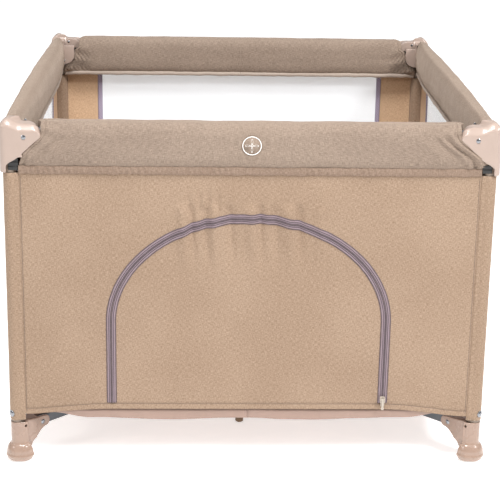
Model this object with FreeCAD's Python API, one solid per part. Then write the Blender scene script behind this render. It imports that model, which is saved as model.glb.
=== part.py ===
import FreeCAD, Part
import math
import os

# Folding square playpen, in millimetres. The origin is on the floor under the middle of the pen,
# +X is to the right, +Y to the back and +Z up. The zip door is in the front side.
# Every corner is drawn once, as the front-left corner about its leg axis, and mirrored to the others.

V = FreeCAD.Vector
X, Y, Z = V(1, 0, 0), V(0, 1, 0), V(0, 0, 1)

# ---- overall sizes -------------------------------------------------------------------------
OVERALL_WIDTH = 1000.0          # over the corner caps, both ways
OVERALL_HEIGHT = 738.0          # floor to the top of a corner cap
CAP_FACE = 20.0                 # leg axis to the outer face of a cap
LEG_SPACING = OVERALL_WIDTH - 2 * CAP_FACE
HALF_SPACING = LEG_SPACING / 2

# ---- fits ----------------------------------------------------------------------------------
HINGE_CLEARANCE = 0.05          # radial, pin in hole
OPEN_PIVOT_CLEARANCE = 0.6      # radial, at the far end of each rail, which the joint tree leaves open
SIDE_CLEARANCE = 0.6            # between a moving part and the cheeks beside it
SLIP_CLEARANCE = 0.5            # plastic sliding in plastic
CLOTH_GAP = 1.0                 # between cloth and whatever is beside it

# ---- legs, feet and their fasteners --------------------------------------------------------
LEG_RADIUS = 12.5
LEG_WALL = 1.2
SLEEVE_CLOTH = 1.2              # thickness of the cloth sleeve round a leg
SLEEVE_INNER = LEG_RADIUS + 0.4
SLEEVE_OUTER = SLEEVE_INNER + SLEEVE_CLOTH
FOOT_SOLE_RADIUS = 15.0
FOOT_LIP_RADIUS = 25.5          # widest ring of the bulb
FOOT_LIP_HEIGHT = 13.0
FOOT_BULB_RADIUS = 23.2         # belly of the bulb above the lip
FOOT_LEDGE = 2.4                # crisp ring where the neck enters the bulb
FOOT_NECK_HEIGHT = 37.0
FOOT_SOCKET_WALL = 2.2
FOOT_TOP = 88.0
FOOT_FLOOR = 14.0               # the leg tube stands on this
WING_THICKNESS = 23.0
WING_TIP = 19.0                 # how far the wing reaches past its pivot
WING_RISE = 11.0                # pivot to the top edge of the wing
WING_DROP = 12.0                # pivot to the bottom of the wing's tip
SOCKET_BOLT_HEIGHT = 78.0
STUD_HEIGHT = 107.0             # press stud that holds the sleeve to the leg
STUD_RADIUS = 7.5

# ---- folding base --------------------------------------------------------------------------
FOOT_PIVOT_REACH = 56.0         # leg axis to the arm pivot, along the diagonal
FOOT_PIVOT_HEIGHT = 68.0
HUB_PIVOT_RADIUS = 46.0
HUB_DROP = 16.0                 # the hub pivots lie this far below the foot pivots, so the base locks
ARM_WIDTH = 10.0
ARM_DEPTH = 19.0
ARM_WALL = 1.2
ARM_PIN_RADIUS = 3.5
HUB_CORE_RADIUS = 31.0
HUB_TOP = 66.0
HUB_CHEEK = 5.5
HUB_FOOT_RADIUS = 14.0
STRAP_WIDTH = 25.0
STRAP_CLOTH = 2.5
STRAP_SPAN = 26.0               # between the two legs of the pull strap
STRAP_TOP = 131.0

# ---- top rails -----------------------------------------------------------------------------
RAIL_AXIS_HEIGHT = OVERALL_HEIGHT - 29
RAIL_RADIUS = 11.0
RAIL_WALL = 1.5
RAIL_PIN_RADIUS = 3.0
RAIL_END = 8.0                  # tube past its pivot
CAP_PIVOT_REACH = 30.0          # leg axis to the rail pivot
LATCH_WALL = 2.4
LATCH_FLOOR = 4.0
LATCH_OVERHANG = 12.0           # latch housing past its pivots
BUTTON_LENGTH = 24.0
BUTTON_WIDTH = 12.0
BUTTON_HEIGHT = 16.0
BUTTON_TRAVEL = 8.0
BUTTON_PROUD = 6.0              # how far the button stands out under the housing

# ---- corner caps ---------------------------------------------------------------------------
CAP_REACH = 63.0                # leg axis to the end of the cap, along the front and back
CAP_SHORT_REACH = 26.0          # and along the sides
CAP_WALL = 14.0                 # outer wall, solid in front of the rail
CAP_NOSE = 16.0                 # the flat top ends this far before the reach
CAP_TIP_WIDTH = 10.0            # leg axis to the inner edge of the tip, towards the outside
CAP_SWEEP = (                   # share of the reach, and drop below the top, along the swept edge
    (0.9, 3.5), (1.0, 16.0), (0.96, 34.0), (0.73, 52.0), (0.4, 70.0), (0.07, 92.0),
)
CAP_DEPTH = 108.0               # top of the cap to the tip on the leg
CAP_CEILING = 4.0
CAP_SHIELD_REACH = 38.0         # inner shield
CAP_SHIELD_DEPTH = 76.0
CAP_ROUND = 15.0                # outer vertical corner
CAP_EDGE_ROUND = 7.0            # outer edges of the top
CAP_SHIELD_BEND = 22.0          # lower inner corner of the shield
CAP_DOME_REACH = 18.0           # the domed upper part of the shield reaches this much further
CAP_DOME_DEPTH = 34.0
CAP_SCREW_HEAD = 4.2            # radius
CAP_SCREW_SHANK = 2.2
BRACKET_WALL = 3.0
CAP_SCREW_DEPTH = 64.0          # below the top
CAP_SIDE_SCREW_DEPTH = 82.0

# ---- cloth ---------------------------------------------------------------------------------
COVER_HEIGHT = 96.0
COVER_TOP = OVERALL_HEIGHT - 5
COVER_INWARD = 36.0             # leg axis line to the inner face of a rail cover
COVER_ROUND = 20.0
COVER_SLANT = 22.0              # the lower end of a cover reaches this much nearer the leg
SHEET = 2.0
PANEL_BOTTOM = 114.0
PANEL_LINE = 10.5               # leg axis line to the middle of a wall sheet
BASE_TOP = 99.0                 # top of the cloth floor
BASE_RIM = 19.0                 # upstand of the cloth floor inside the walls
MAT_THICKNESS = 20.0
MAT_WIDTH = 916.0
MAT_FOOT_RADIUS = 9.0
MAT_FOOT_X = -11.0
MAT_FOOT_INSET = 174.0          # front leg line to the mat foot
HOLE_CLEARANCE = 6.0            # round what passes through the cloth floor and the mat

# ---- zip door ------------------------------------------------------------------------------
DOOR_HALF_WIDTH = 281.5
DOOR_SILL = 131.0               # hinge line of the flap
DOOR_ARCH = 222.0               # rise of the arch above the straight part of the sides
DOOR_DROP = 101.0               # top of the wall to the crown of the arch
ZIP_GAP = 2.0                   # between the flap and the panel, under the zip
ZIP_TAPE = 8.5                  # each half of the tape
TAPE_THICKNESS = 1.4
SLIDER_WIDTH = 11.0
SLIDER_HEIGHT = 14.0
SLIDER_DEPTH = 5.0
PULL_LENGTH = 24.0
PULL_GRIP_RADIUS = 3.4
EMBLEM_RADIUS = 20.0
EMBLEM_DROP = 43.0              # cover top to the middle of the emblem
EMBLEM_THICKNESS = 0.8

# ---- sizes that follow from those ----------------------------------------------------------
DIAGONAL = HALF_SPACING * math.sqrt(2)
ARM_RUN = DIAGONAL - FOOT_PIVOT_REACH - HUB_PIVOT_RADIUS
HUB_PIVOT_HEIGHT = FOOT_PIVOT_HEIGHT - HUB_DROP
ARM_LENGTH = math.hypot(ARM_RUN, HUB_DROP)
RAIL_RUN = ARM_RUN / math.sqrt(2)           # this ratio keeps the rails and the base in step
RAIL_RISE = HUB_DROP / math.sqrt(2)
RAIL_LENGTH = ARM_LENGTH / math.sqrt(2)
CAP_PIVOT_HEIGHT = RAIL_AXIS_HEIGHT - RAIL_RISE / 2
LATCH_PIVOT_HEIGHT = RAIL_AXIS_HEIGHT + RAIL_RISE / 2
LATCH_PIVOT_HALF = HALF_SPACING - CAP_PIVOT_REACH - RAIL_RUN
RAIL_SLOT = RAIL_RADIUS + SIDE_CLEARANCE
RAIL_SWEEP = math.hypot(RAIL_END, RAIL_RADIUS + RAIL_RISE / 2) + 1.0
LATCH_OUTER = RAIL_SLOT + LATCH_WALL
LATCH_FLOOR_TOP = LATCH_PIVOT_HEIGHT - RAIL_SWEEP
LATCH_BOTTOM = LATCH_FLOOR_TOP - LATCH_FLOOR
LATCH_TOP = LATCH_PIVOT_HEIGHT + RAIL_PIN_RADIUS + 4
SOCKET_RADIUS = LEG_RADIUS + FOOT_SOCKET_WALL
LEG_TOP = OVERALL_HEIGHT - 12
CAP_TIP_HEIGHT = OVERALL_HEIGHT - CAP_DEPTH
CAP_SLOT_TOP = CAP_PIVOT_HEIGHT + RAIL_SWEEP
CAP_SLOT_START = CAP_PIVOT_REACH - math.hypot(RAIL_END, RAIL_RADIUS - RAIL_RISE / 2) - 1.0
BRACKET_REACH = CAP_PIVOT_REACH + 13
COVER_BOTTOM = COVER_TOP - COVER_HEIGHT
PANEL_TOP = COVER_BOTTOM - CLOTH_GAP
DOOR_WALL_Y = -HALF_SPACING - PANEL_LINE    # middle of the front wall
DOOR_STRAIGHT = PANEL_TOP - DOOR_DROP - DOOR_ARCH - DOOR_SILL
SLEEVE_BOTTOM = FOOT_TOP + 5
SLEEVE_TOP = CAP_TIP_HEIGHT - CLOTH_GAP

CORNERS = {"front_left": (-1, -1), "front_right": (1, -1), "back_right": (1, 1), "back_left": (-1, 1)}
SIDES = ("front", "right", "back", "left")


# ---- small helpers -------------------------------------------------------------------------
def box(x0, x1, y0, y1, z0, z1):
    """A block between two opposite corners."""
    return Part.makeBox(x1 - x0, y1 - y0, z1 - z0, V(x0, y0, z0))


def rod(radius, start, end):
    """A round bar from one point to another."""
    return Part.makeCylinder(radius, (end - start).Length, start, end - start)


def fuse(shapes):
    """One solid from shapes that meet, with the seams between them removed."""
    whole = shapes[0]
    for shape in shapes[1:]:
        whole = whole.fuse(shape)
    return whole.removeSplitter()


def cut(shape, tools):
    """The shape with each tool taken away."""
    for tool in tools:
        shape = shape.cut(tool)
    return shape


def dome_head(radius, height, seat, direction):
    """A low domed rivet head that sits on a seat and points along a direction."""
    ball = (radius * radius + height * height) / (2 * height)
    out = V(direction).normalize()
    cap = Part.makeSphere(ball, seat - out * (ball - height))
    return cap.common(rod(radius, seat, seat + out * (height + 1)))


def pin(radius, head_radius, head_height, start, end):
    """A rivet: a round shank with a domed head at both ends."""
    along = end - start
    return fuse([
        rod(radius, start, end),
        dome_head(head_radius, head_height, start, along * -1),
        dome_head(head_radius, head_height, end, along),
    ])


def prism(edges, direction):
    """The outline made of these edges, filled and pushed along a direction."""
    return Part.Face(Part.Wire(edges)).extrude(direction)


def lines(*points):
    """Straight edges through the points in turn."""
    return [Part.makeLine(a, b) for a, b in zip(points, points[1:])]


def spline(*points):
    """A smooth edge through the points."""
    curve = Part.BSplineCurve()
    curve.interpolate(list(points))
    return curve.toShape()


def arc(start, middle, end):
    """A circular edge through three points."""
    return Part.Arc(start, middle, end).toShape()


def to_corner(shape, corner):
    """A piece drawn about the front-left leg axis, mirrored and moved to one corner of the pen."""
    side, depth = CORNERS[corner]
    if side > 0:
        shape = shape.mirror(V(0, 0, 0), X)
    if depth > 0:
        shape = shape.mirror(V(0, 0, 0), Y)
    return shape.translated(V(side * HALF_SPACING, depth * HALF_SPACING, 0))


def to_side(shape, side):
    """A piece drawn on the front side, turned about the middle of the pen to one side."""
    turned = shape.copy()
    turned.rotate(V(0, 0, 0), Z, 90 * SIDES.index(side))
    return turned


def diagonal(shape):
    """A piece drawn with its length along X, turned to point from the leg to the middle."""
    turned = shape.copy()
    turned.rotate(V(0, 0, 0), Z, 45)
    return turned


def swap(shape):
    """A piece drawn along the front, turned over to lie the same way along the side."""
    return shape.mirror(V(0, 0, 0), V(1, -1, 0).normalize())


# ---- leg, foot, cap and fasteners of one corner --------------------------------------------
def leg_tube():
    """Steel leg that stands in the foot and ends inside the corner cap."""
    outside = rod(LEG_RADIUS, V(0, 0, FOOT_FLOOR), V(0, 0, LEG_TOP))
    bore = rod(LEG_RADIUS - LEG_WALL, V(0, 0, FOOT_FLOOR), V(0, 0, LEG_TOP))
    return cut(outside, [bore] + fasteners())


def foot_wing():
    """Two cheeks under the arm pivot, with a hollow curve on the underside."""
    tip = FOOT_PIVOT_REACH + WING_TIP
    high = FOOT_PIVOT_HEIGHT + WING_RISE
    low = FOOT_PIVOT_HEIGHT - WING_DROP
    root = FOOT_NECK_HEIGHT - 14
    edges = lines(V(0, 0, FOOT_TOP), V(SOCKET_RADIUS, 0, FOOT_TOP), V(tip - 8, 0, high))
    edges.append(arc(V(tip - 8, 0, high), V(tip - 2, 0, high - 4), V(tip, 0, high - 10)))
    edges.append(arc(V(tip, 0, high - 10), V(tip - 1, 0, low + 6), V(tip - 6, 0, low)))
    edges.append(spline(
        V(tip - 6, 0, low),
        V(tip - 24, 0, low - 6),
        V(tip - 38, 0, low - 17),
        V(tip - 46, 0, FOOT_NECK_HEIGHT - 5),
        V(tip - 50, 0, root),
    ))
    edges += lines(V(tip - 50, 0, root), V(0, 0, root), V(0, 0, FOOT_TOP))
    half = WING_THICKNESS / 2
    wing = prism(edges, V(0, WING_THICKNESS, 0)).translated(V(0, -half, 0))
    slot_half = ARM_WIDTH / 2 + SIDE_CLEARANCE / 2
    slot_start = FOOT_PIVOT_REACH - ARM_DEPTH / 2 - 2
    slot = box(slot_start, tip + 1, -slot_half, slot_half, FOOT_FLOOR, FOOT_TOP + 1)
    return diagonal(wing.cut(slot))


def foot_bulb():
    """Round lower part of the foot: a small ledge, a belly, a flared lip and a rim down to the sole."""
    neck, ledge = SOCKET_RADIUS, FOOT_NECK_HEIGHT - 1
    shoulder = neck + FOOT_LEDGE
    lip_top = FOOT_LIP_HEIGHT + 1.2
    edges = lines(V(0, 0, FOOT_TOP), V(0, 0, 0), V(FOOT_SOLE_RADIUS, 0, 0))
    edges.append(spline(
        V(FOOT_SOLE_RADIUS, 0, 0),
        V(FOOT_SOLE_RADIUS + 5.5, 0, 2.6),
        V(FOOT_LIP_RADIUS - 2, 0, FOOT_LIP_HEIGHT * 0.62),
        V(FOOT_LIP_RADIUS, 0, FOOT_LIP_HEIGHT),
    ))
    edges += lines(V(FOOT_LIP_RADIUS, 0, FOOT_LIP_HEIGHT), V(FOOT_LIP_RADIUS - 0.6, 0, lip_top))
    edges.append(spline(
        V(FOOT_LIP_RADIUS - 0.6, 0, lip_top),
        V(FOOT_BULB_RADIUS + 0.2, 0, lip_top + 3),
        V(FOOT_BULB_RADIUS, 0, lip_top + 7),
        V(FOOT_BULB_RADIUS - 2, 0, ledge - 7),
        V(shoulder, 0, ledge),
    ))
    edges += lines(
        V(shoulder, 0, ledge), V(neck, 0, FOOT_NECK_HEIGHT), V(neck, 0, FOOT_TOP), V(0, 0, FOOT_TOP)
    )
    return Part.Face(Part.Wire(edges)).revolve(V(0, 0, 0), Z, 360)


def foot():
    """Moulded foot: the bulb, the socket for the leg and the wing for the arm."""
    body = fuse([foot_bulb(), foot_wing()])
    bore = rod(LEG_RADIUS, V(0, 0, FOOT_FLOOR), V(0, 0, FOOT_TOP + 1))
    return cut(body, [bore] + fasteners())


def cap_outer_profile(reach):
    """Outer wall of a cap: long at the top, sweeping down to a narrow tip on the leg."""
    top, tip = OVERALL_HEIGHT, CAP_TIP_HEIGHT
    flat_end = reach - CAP_NOSE
    sweep = [V(share * (reach + CAP_TIP_WIDTH) - CAP_TIP_WIDTH, 0, top - drop) for share, drop in CAP_SWEEP]
    edges = lines(V(-CAP_FACE, 0, tip), V(-CAP_FACE, 0, top), V(flat_end, 0, top))
    edges.append(spline(V(flat_end, 0, top), *sweep, V(-CAP_TIP_WIDTH, 0, tip)))
    edges += lines(V(-CAP_TIP_WIDTH, 0, tip), V(-CAP_FACE, 0, tip))
    return edges


def cap_shield_profile(reach):
    """Inner wall of a cap: a domed upper part and a shorter shield with one large round corner."""
    top, low = OVERALL_HEIGHT, OVERALL_HEIGHT - CAP_SHIELD_DEPTH
    dome, knee, bend = reach + CAP_DOME_REACH, top - CAP_DOME_DEPTH, CAP_SHIELD_BEND
    inset = bend * (1 - math.sqrt(0.5))
    edges = lines(V(-CAP_FACE, 0, low), V(-CAP_FACE, 0, top), V(dome - 20, 0, top))
    edges.append(arc(V(dome - 20, 0, top), V(dome - 6, 0, top - 7), V(dome, 0, top - 22)))
    edges += lines(V(dome, 0, top - 22), V(dome, 0, knee), V(reach, 0, knee), V(reach, 0, low + bend))
    edges.append(arc(V(reach, 0, low + bend), V(reach - inset, 0, low + inset), V(reach - bend, 0, low)))
    edges += lines(V(reach - bend, 0, low), V(-CAP_FACE, 0, low))
    return edges


def cap_shell(reach, shield):
    """One arm of the cap: the swept outer wall and, behind it, a shorter shield facing the inside."""
    outer = prism(cap_outer_profile(reach), V(0, CAP_WALL, 0)).translated(V(0, -CAP_FACE, 0))
    start = CAP_WALL - CAP_FACE
    inner = prism(cap_shield_profile(shield), V(0, CAP_FACE - start, 0)).translated(V(0, start, 0))
    return fuse([outer, inner])


def cap_envelope():
    """Block with the rounded outer corner and the rounded top edges that every cap keeps within."""
    block = box(-CAP_FACE, 2 * CAP_REACH, -CAP_FACE, 2 * CAP_REACH, 0, OVERALL_HEIGHT)
    corner = [edge for edge in block.Edges if edge.BoundBox.XMax < 0 and edge.BoundBox.YMax < 0]
    block = block.makeFillet(CAP_ROUND, corner)
    top = [
        edge for edge in block.Edges
        if edge.BoundBox.ZMin > OVERALL_HEIGHT - 1 and min(edge.BoundBox.XMin, edge.BoundBox.YMin) < 0
        and (edge.BoundBox.XMax < CAP_ROUND or edge.BoundBox.YMax < CAP_ROUND)
    ]
    return block.makeFillet(CAP_EDGE_ROUND, top)


def corner_cap():
    """Corner moulding that holds the leg top and the pivots of two rails."""
    body = fuse([
        cap_shell(CAP_REACH, CAP_SHIELD_REACH),
        swap(cap_shell(CAP_SHORT_REACH, CAP_SHORT_REACH - CAP_DOME_REACH)),
        box(-BRACKET_WALL - RAIL_SLOT, BRACKET_WALL + RAIL_SLOT, 0, BRACKET_REACH,
            CAP_PIVOT_HEIGHT - 16, CAP_SLOT_TOP + BRACKET_WALL),
    ]).common(cap_envelope())
    slot = box(CAP_SLOT_START, CAP_REACH + 1, -RAIL_SLOT, RAIL_SLOT, 0, CAP_SLOT_TOP)
    bore = rod(LEG_RADIUS, V(0, 0, 0), V(0, 0, LEG_TOP))
    well = rod(SLEEVE_OUTER + 1, V(0, 0, 0), V(0, 0, SLEEVE_TOP + CLOTH_GAP))
    return cut(body, [slot, swap(slot), bore, well] + fasteners())


def rail_pivot(depth):
    """Where the rail's pivot crosses a plane beside the rail."""
    return V(CAP_PIVOT_REACH, depth, CAP_PIVOT_HEIGHT)


def long_pivot_pin():
    """Pin of the front or back rail, through the full width of the cap."""
    return pin(RAIL_PIN_RADIUS, 4.6, 1.7, rail_pivot(-CAP_FACE), rail_pivot(CAP_FACE))


def short_pivot_pin():
    """Pin of the side rail, through the bracket that its cover hides."""
    half = RAIL_SLOT + BRACKET_WALL
    return swap(pin(RAIL_PIN_RADIUS, 4.2, 0.9, rail_pivot(-half), rail_pivot(half)))


def cap_screw():
    """Screw through the inner shield of the cap."""
    seat = V(CAP_SLOT_START + 7, CAP_FACE, OVERALL_HEIGHT - CAP_SCREW_DEPTH)
    foot_of_screw = V(seat.x, RAIL_SLOT + 0.4, seat.z)
    return fuse([rod(CAP_SCREW_SHANK, foot_of_screw, seat), dome_head(CAP_SCREW_HEAD, 1.7, seat, Y)])


def cap_side_screw():
    """Screw through the outer face of the cap into the leg."""
    seat = V(-CAP_FACE, 0, OVERALL_HEIGHT - CAP_SIDE_SCREW_DEPTH)
    inside = V(-LEG_RADIUS + 2.5, 0, seat.z)
    return fuse([rod(CAP_SCREW_SHANK, inside, seat), dome_head(CAP_SCREW_HEAD, 1.7, seat, X * -1)])


def arm_pivot_pin():
    """Rivet through the wing of the foot and the arm."""
    half = WING_THICKNESS / 2
    return diagonal(pin(ARM_PIN_RADIUS, 5.6, 1.9, V(FOOT_PIVOT_REACH, -half, FOOT_PIVOT_HEIGHT),
                        V(FOOT_PIVOT_REACH, half, FOOT_PIVOT_HEIGHT)))


def socket_bolt():
    """Bolt through the socket of the foot and the leg."""
    half = SOCKET_RADIUS - 0.4
    return diagonal(pin(2.4, 4.4, 2.0, V(0, -half, SOCKET_BOLT_HEIGHT), V(0, half, SOCKET_BOLT_HEIGHT)))


def sleeve_stud():
    """Press stud on the outer corner of the leg that holds the sleeve down."""
    seat = V(-SLEEVE_OUTER - 0.2, 0, STUD_HEIGHT)
    root = V(-LEG_RADIUS + 2, 0, STUD_HEIGHT)
    washer = rod(STUD_RADIUS, seat, seat + V(-1.4, 0, 0))
    head = dome_head(STUD_RADIUS - 1.4, 2.4, seat + V(-1.4, 0, 0), X * -1)
    return diagonal(fuse([rod(2.6, root, seat), washer, head]))


def fasteners():
    """All rivets, screws and the stud of one corner, each a solid. They also cut their own holes."""
    return [
        long_pivot_pin(), short_pivot_pin(), cap_screw(), cap_side_screw(),
        arm_pivot_pin(), socket_bolt(), sleeve_stud(),
    ]


# ---- folding base --------------------------------------------------------------------------
def base_arm():
    """Flat steel tube from the foot pivot down to the hub pivot, with round solid ends."""
    half, length = ARM_DEPTH / 2, ARM_LENGTH
    edges = lines(V(0, 0, half), V(length, 0, half))
    edges.append(arc(V(length, 0, half), V(length + half, 0, 0), V(length, 0, -half)))
    edges += lines(V(length, 0, -half), V(0, 0, -half))
    edges.append(arc(V(0, 0, -half), V(-half, 0, 0), V(0, 0, half)))
    bar = prism(edges, V(0, ARM_WIDTH, 0)).translated(V(0, -ARM_WIDTH / 2, 0))
    hollow = box(2 * half, length - 2 * half, ARM_WALL - ARM_WIDTH / 2, ARM_WIDTH / 2 - ARM_WALL,
                 ARM_WALL - half, half - ARM_WALL)
    hole = ARM_PIN_RADIUS + HINGE_CLEARANCE
    holes = [rod(hole, V(at, -ARM_WIDTH, 0), V(at, ARM_WIDTH, 0)) for at in (0, length)]
    bar = cut(bar, [hollow] + holes)
    bar.rotate(V(0, 0, 0), Y, math.degrees(math.asin(HUB_DROP / length)))
    return diagonal(bar.translated(V(FOOT_PIVOT_REACH, 0, FOOT_PIVOT_HEIGHT)))


def hub_clevis():
    """Two cheeks and a roof that hold one arm, drawn outward along X from the hub axis."""
    half = ARM_WIDTH / 2 + SIDE_CLEARANCE / 2
    start = HUB_PIVOT_RADIUS - ARM_DEPTH / 2 - 1.5
    end = HUB_PIVOT_RADIUS + ARM_DEPTH / 2 + 3
    low = HUB_PIVOT_HEIGHT - ARM_DEPTH / 2
    block = box(10, end, -half - HUB_CHEEK, half + HUB_CHEEK, low, HUB_TOP)
    slot = box(start, end + 1, -half, half, 0, HUB_PIVOT_HEIGHT + ARM_DEPTH / 2 + 1.2)
    return block, slot


def hub():
    """Moulded hub that the four arms meet in, with two slits for the pull strap."""
    core = rod(HUB_CORE_RADIUS, V(0, 0, HUB_PIVOT_HEIGHT - ARM_DEPTH / 2), V(0, 0, HUB_TOP))
    blocks, slots = [core], []
    for turn in range(4):
        for shape, group in zip(hub_clevis(), (blocks, slots)):
            shape.rotate(V(0, 0, 0), Z, 45 + 90 * turn)
            group.append(shape)
    slits = [box(at - STRAP_CLOTH / 2, at + STRAP_CLOTH / 2, -STRAP_WIDTH / 2, STRAP_WIDTH / 2,
                 HUB_TOP - 9, HUB_TOP) for at in (-STRAP_SPAN / 2, STRAP_SPAN / 2)]
    return cut(fuse(blocks), slots + slits + hub_pins())


def hub_pins():
    """The four rivets in the hub."""
    half = ARM_WIDTH / 2 + SIDE_CLEARANCE / 2 + HUB_CHEEK
    pins = []
    for turn in range(4):
        rivet = pin(ARM_PIN_RADIUS, 5.2, 1.4, V(HUB_PIVOT_RADIUS, -half, HUB_PIVOT_HEIGHT),
                    V(HUB_PIVOT_RADIUS, half, HUB_PIVOT_HEIGHT))
        rivet.rotate(V(0, 0, 0), Z, 45 + 90 * turn)
        pins.append(rivet)
    return pins


def hub_foot():
    """Short post under the hub that stands on the floor."""
    top = HUB_PIVOT_HEIGHT - ARM_DEPTH / 2
    post = rod(HUB_FOOT_RADIUS, V(0, 0, 0), V(0, 0, top))
    rim = [edge for edge in post.Edges if edge.BoundBox.ZMax < 0.01]
    return post.makeFillet(3.0, rim)


def pull_strap():
    """Webbing loop that comes up through the floor and lifts the hub."""
    middle = STRAP_SPAN / 2
    low, bend = HUB_TOP - 9, STRAP_TOP - middle - STRAP_CLOTH / 2
    loops = []
    for radius in (middle + STRAP_CLOTH / 2, middle - STRAP_CLOTH / 2):
        edges = lines(V(-radius, 0, bend), V(-radius, 0, low), V(radius, 0, low), V(radius, 0, bend))
        edges.append(arc(V(radius, 0, bend), V(0, 0, bend + radius), V(-radius, 0, bend)))
        loops.append(prism(edges, V(0, STRAP_WIDTH, 0)).translated(V(0, -STRAP_WIDTH / 2, 0)))
    return loops[0].cut(loops[1])


# ---- top rails, drawn on the front side ----------------------------------------------------
def half_rail(hand, far_end):
    """One half of a top rail. hand is -1 for the left half. The far end turns on the open pivot."""
    outer_end = HALF_SPACING - CAP_PIVOT_REACH + RAIL_END
    inner_end = LATCH_PIVOT_HALF - RAIL_END
    ends = [V(hand * at, -HALF_SPACING, RAIL_AXIS_HEIGHT) for at in (outer_end, inner_end)]
    outside, bore = (rod(radius, *ends) for radius in (RAIL_RADIUS, RAIL_RADIUS - RAIL_WALL))
    cap_clearance = OPEN_PIVOT_CLEARANCE if far_end else HINGE_CLEARANCE
    holes = []
    for at, height, clearance in (
        (HALF_SPACING - CAP_PIVOT_REACH, CAP_PIVOT_HEIGHT, cap_clearance),
        (LATCH_PIVOT_HALF, LATCH_PIVOT_HEIGHT, HINGE_CLEARANCE),
    ):
        middle = V(hand * at, -HALF_SPACING, height)
        holes.append(rod(RAIL_PIN_RADIUS + clearance, middle - Y * 20, middle + Y * 20))
    return cut(outside, [bore] + holes)


def latch():
    """Open-topped housing between two half rails, with its two pivot pins and a well for the button."""
    line = -HALF_SPACING
    half = LATCH_PIVOT_HALF + LATCH_OVERHANG
    trough = box(-half, half, line - LATCH_OUTER, line + LATCH_OUTER, LATCH_BOTTOM, LATCH_TOP)
    inside = box(-half, half, line - RAIL_SLOT, line + RAIL_SLOT, LATCH_FLOOR_TOP, LATCH_TOP)
    block_half = LATCH_PIVOT_HALF - math.hypot(RAIL_END, RAIL_RISE / 2 + 2) - 2
    block = box(-block_half, block_half, line - RAIL_SLOT, line + RAIL_SLOT, LATCH_FLOOR_TOP, LATCH_TOP)
    wide, deep = BUTTON_LENGTH / 2 + SLIP_CLEARANCE, BUTTON_WIDTH / 2 + SLIP_CLEARANCE
    well = box(-wide, wide, line - deep, line + deep, LATCH_BOTTOM,
               LATCH_BOTTOM - BUTTON_PROUD + BUTTON_HEIGHT + BUTTON_TRAVEL + 1)
    housing = cut(fuse([trough.cut(inside), block]), [well])
    pins = []
    for at in (-LATCH_PIVOT_HALF, LATCH_PIVOT_HALF):
        pins.append(rod(RAIL_PIN_RADIUS, V(at, line - LATCH_OUTER, LATCH_PIVOT_HEIGHT),
                        V(at, line + LATCH_OUTER, LATCH_PIVOT_HEIGHT)))
    return [cut(housing, pins)] + pins


def latch_button():
    """Sprung button under the latch that frees the rail."""
    low = LATCH_BOTTOM - BUTTON_PROUD
    button = box(-BUTTON_LENGTH / 2, BUTTON_LENGTH / 2, -HALF_SPACING - BUTTON_WIDTH / 2,
                 -HALF_SPACING + BUTTON_WIDTH / 2, low, low + BUTTON_HEIGHT)
    rim = [edge for edge in button.Edges if edge.BoundBox.ZMax < low + 0.01]
    return button.makeFillet(2.0, rim)


def cover_outline():
    """Round-cornered section of a rail cover, in the plane across the rail."""
    outer, inner = -HALF_SPACING - CAP_FACE, -HALF_SPACING + COVER_INWARD
    block = box(-HALF_SPACING, HALF_SPACING, outer, inner, COVER_BOTTOM, COVER_TOP)
    long_edges = [edge for edge in block.Edges if edge.BoundBox.XLength > HALF_SPACING]
    return block.makeFillet(COVER_ROUND, long_edges)


def rail_cover(start):
    """Padded cover round a whole top rail. start is how far from the leg axis its ends are."""
    core = LATCH_OUTER + CLOTH_GAP
    channel = box(-HALF_SPACING, HALF_SPACING, -HALF_SPACING - core, -HALF_SPACING + core,
                  LATCH_BOTTOM - BUTTON_PROUD - 2, LATCH_TOP + CLOTH_GAP)
    ends = []
    for hand in (-1, 1):
        out, at_top = hand * (HALF_SPACING + 1), hand * (HALF_SPACING - start)
        at_bottom = hand * (HALF_SPACING - start + COVER_SLANT)
        knee = COVER_TOP - 40
        ends.append(prism(lines(V(out, 0, COVER_TOP + 1), V(at_top, 0, COVER_TOP + 1), V(at_top, 0, knee),
                                V(at_bottom, 0, COVER_BOTTOM - 1), V(out, 0, COVER_BOTTOM - 1),
                                V(out, 0, COVER_TOP + 1)), Y * -OVERALL_WIDTH))
    return cut(cover_outline(), [channel] + ends)


# ---- cloth walls and floor -----------------------------------------------------------------
def wall_sheet(past_sleeve):
    """Flat cloth wall between two legs, on the front side, with its edges past_sleeve from the legs."""
    half = HALF_SPACING - past_sleeve
    return box(-half, half, DOOR_WALL_Y - SHEET / 2, DOOR_WALL_Y + SHEET / 2, PANEL_BOTTOM, PANEL_TOP)


def sleeve(side):
    """Cloth tube round a front leg, open where the press stud goes through."""
    axis = V(side * HALF_SPACING, -HALF_SPACING, 0)
    outside = rod(SLEEVE_OUTER, axis + Z * SLEEVE_BOTTOM, axis + Z * SLEEVE_TOP)
    bore = rod(SLEEVE_INNER, axis + Z * SLEEVE_BOTTOM, axis + Z * SLEEVE_TOP)
    corner = "front_left" if side < 0 else "front_right"
    return cut(outside, [bore, to_corner(sleeve_stud(), corner)])


def sleeved_wall():
    """Cloth wall with the sleeves of both its legs sewn to it."""
    sheet = wall_sheet(0)
    for side in (-1, 1):
        sheet = sheet.cut(rod(SLEEVE_INNER, V(side * HALF_SPACING, -HALF_SPACING, 0),
                              V(side * HALF_SPACING, -HALF_SPACING, OVERALL_HEIGHT)))
    return fuse([sheet, sleeve(-1), sleeve(1)])


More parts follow.
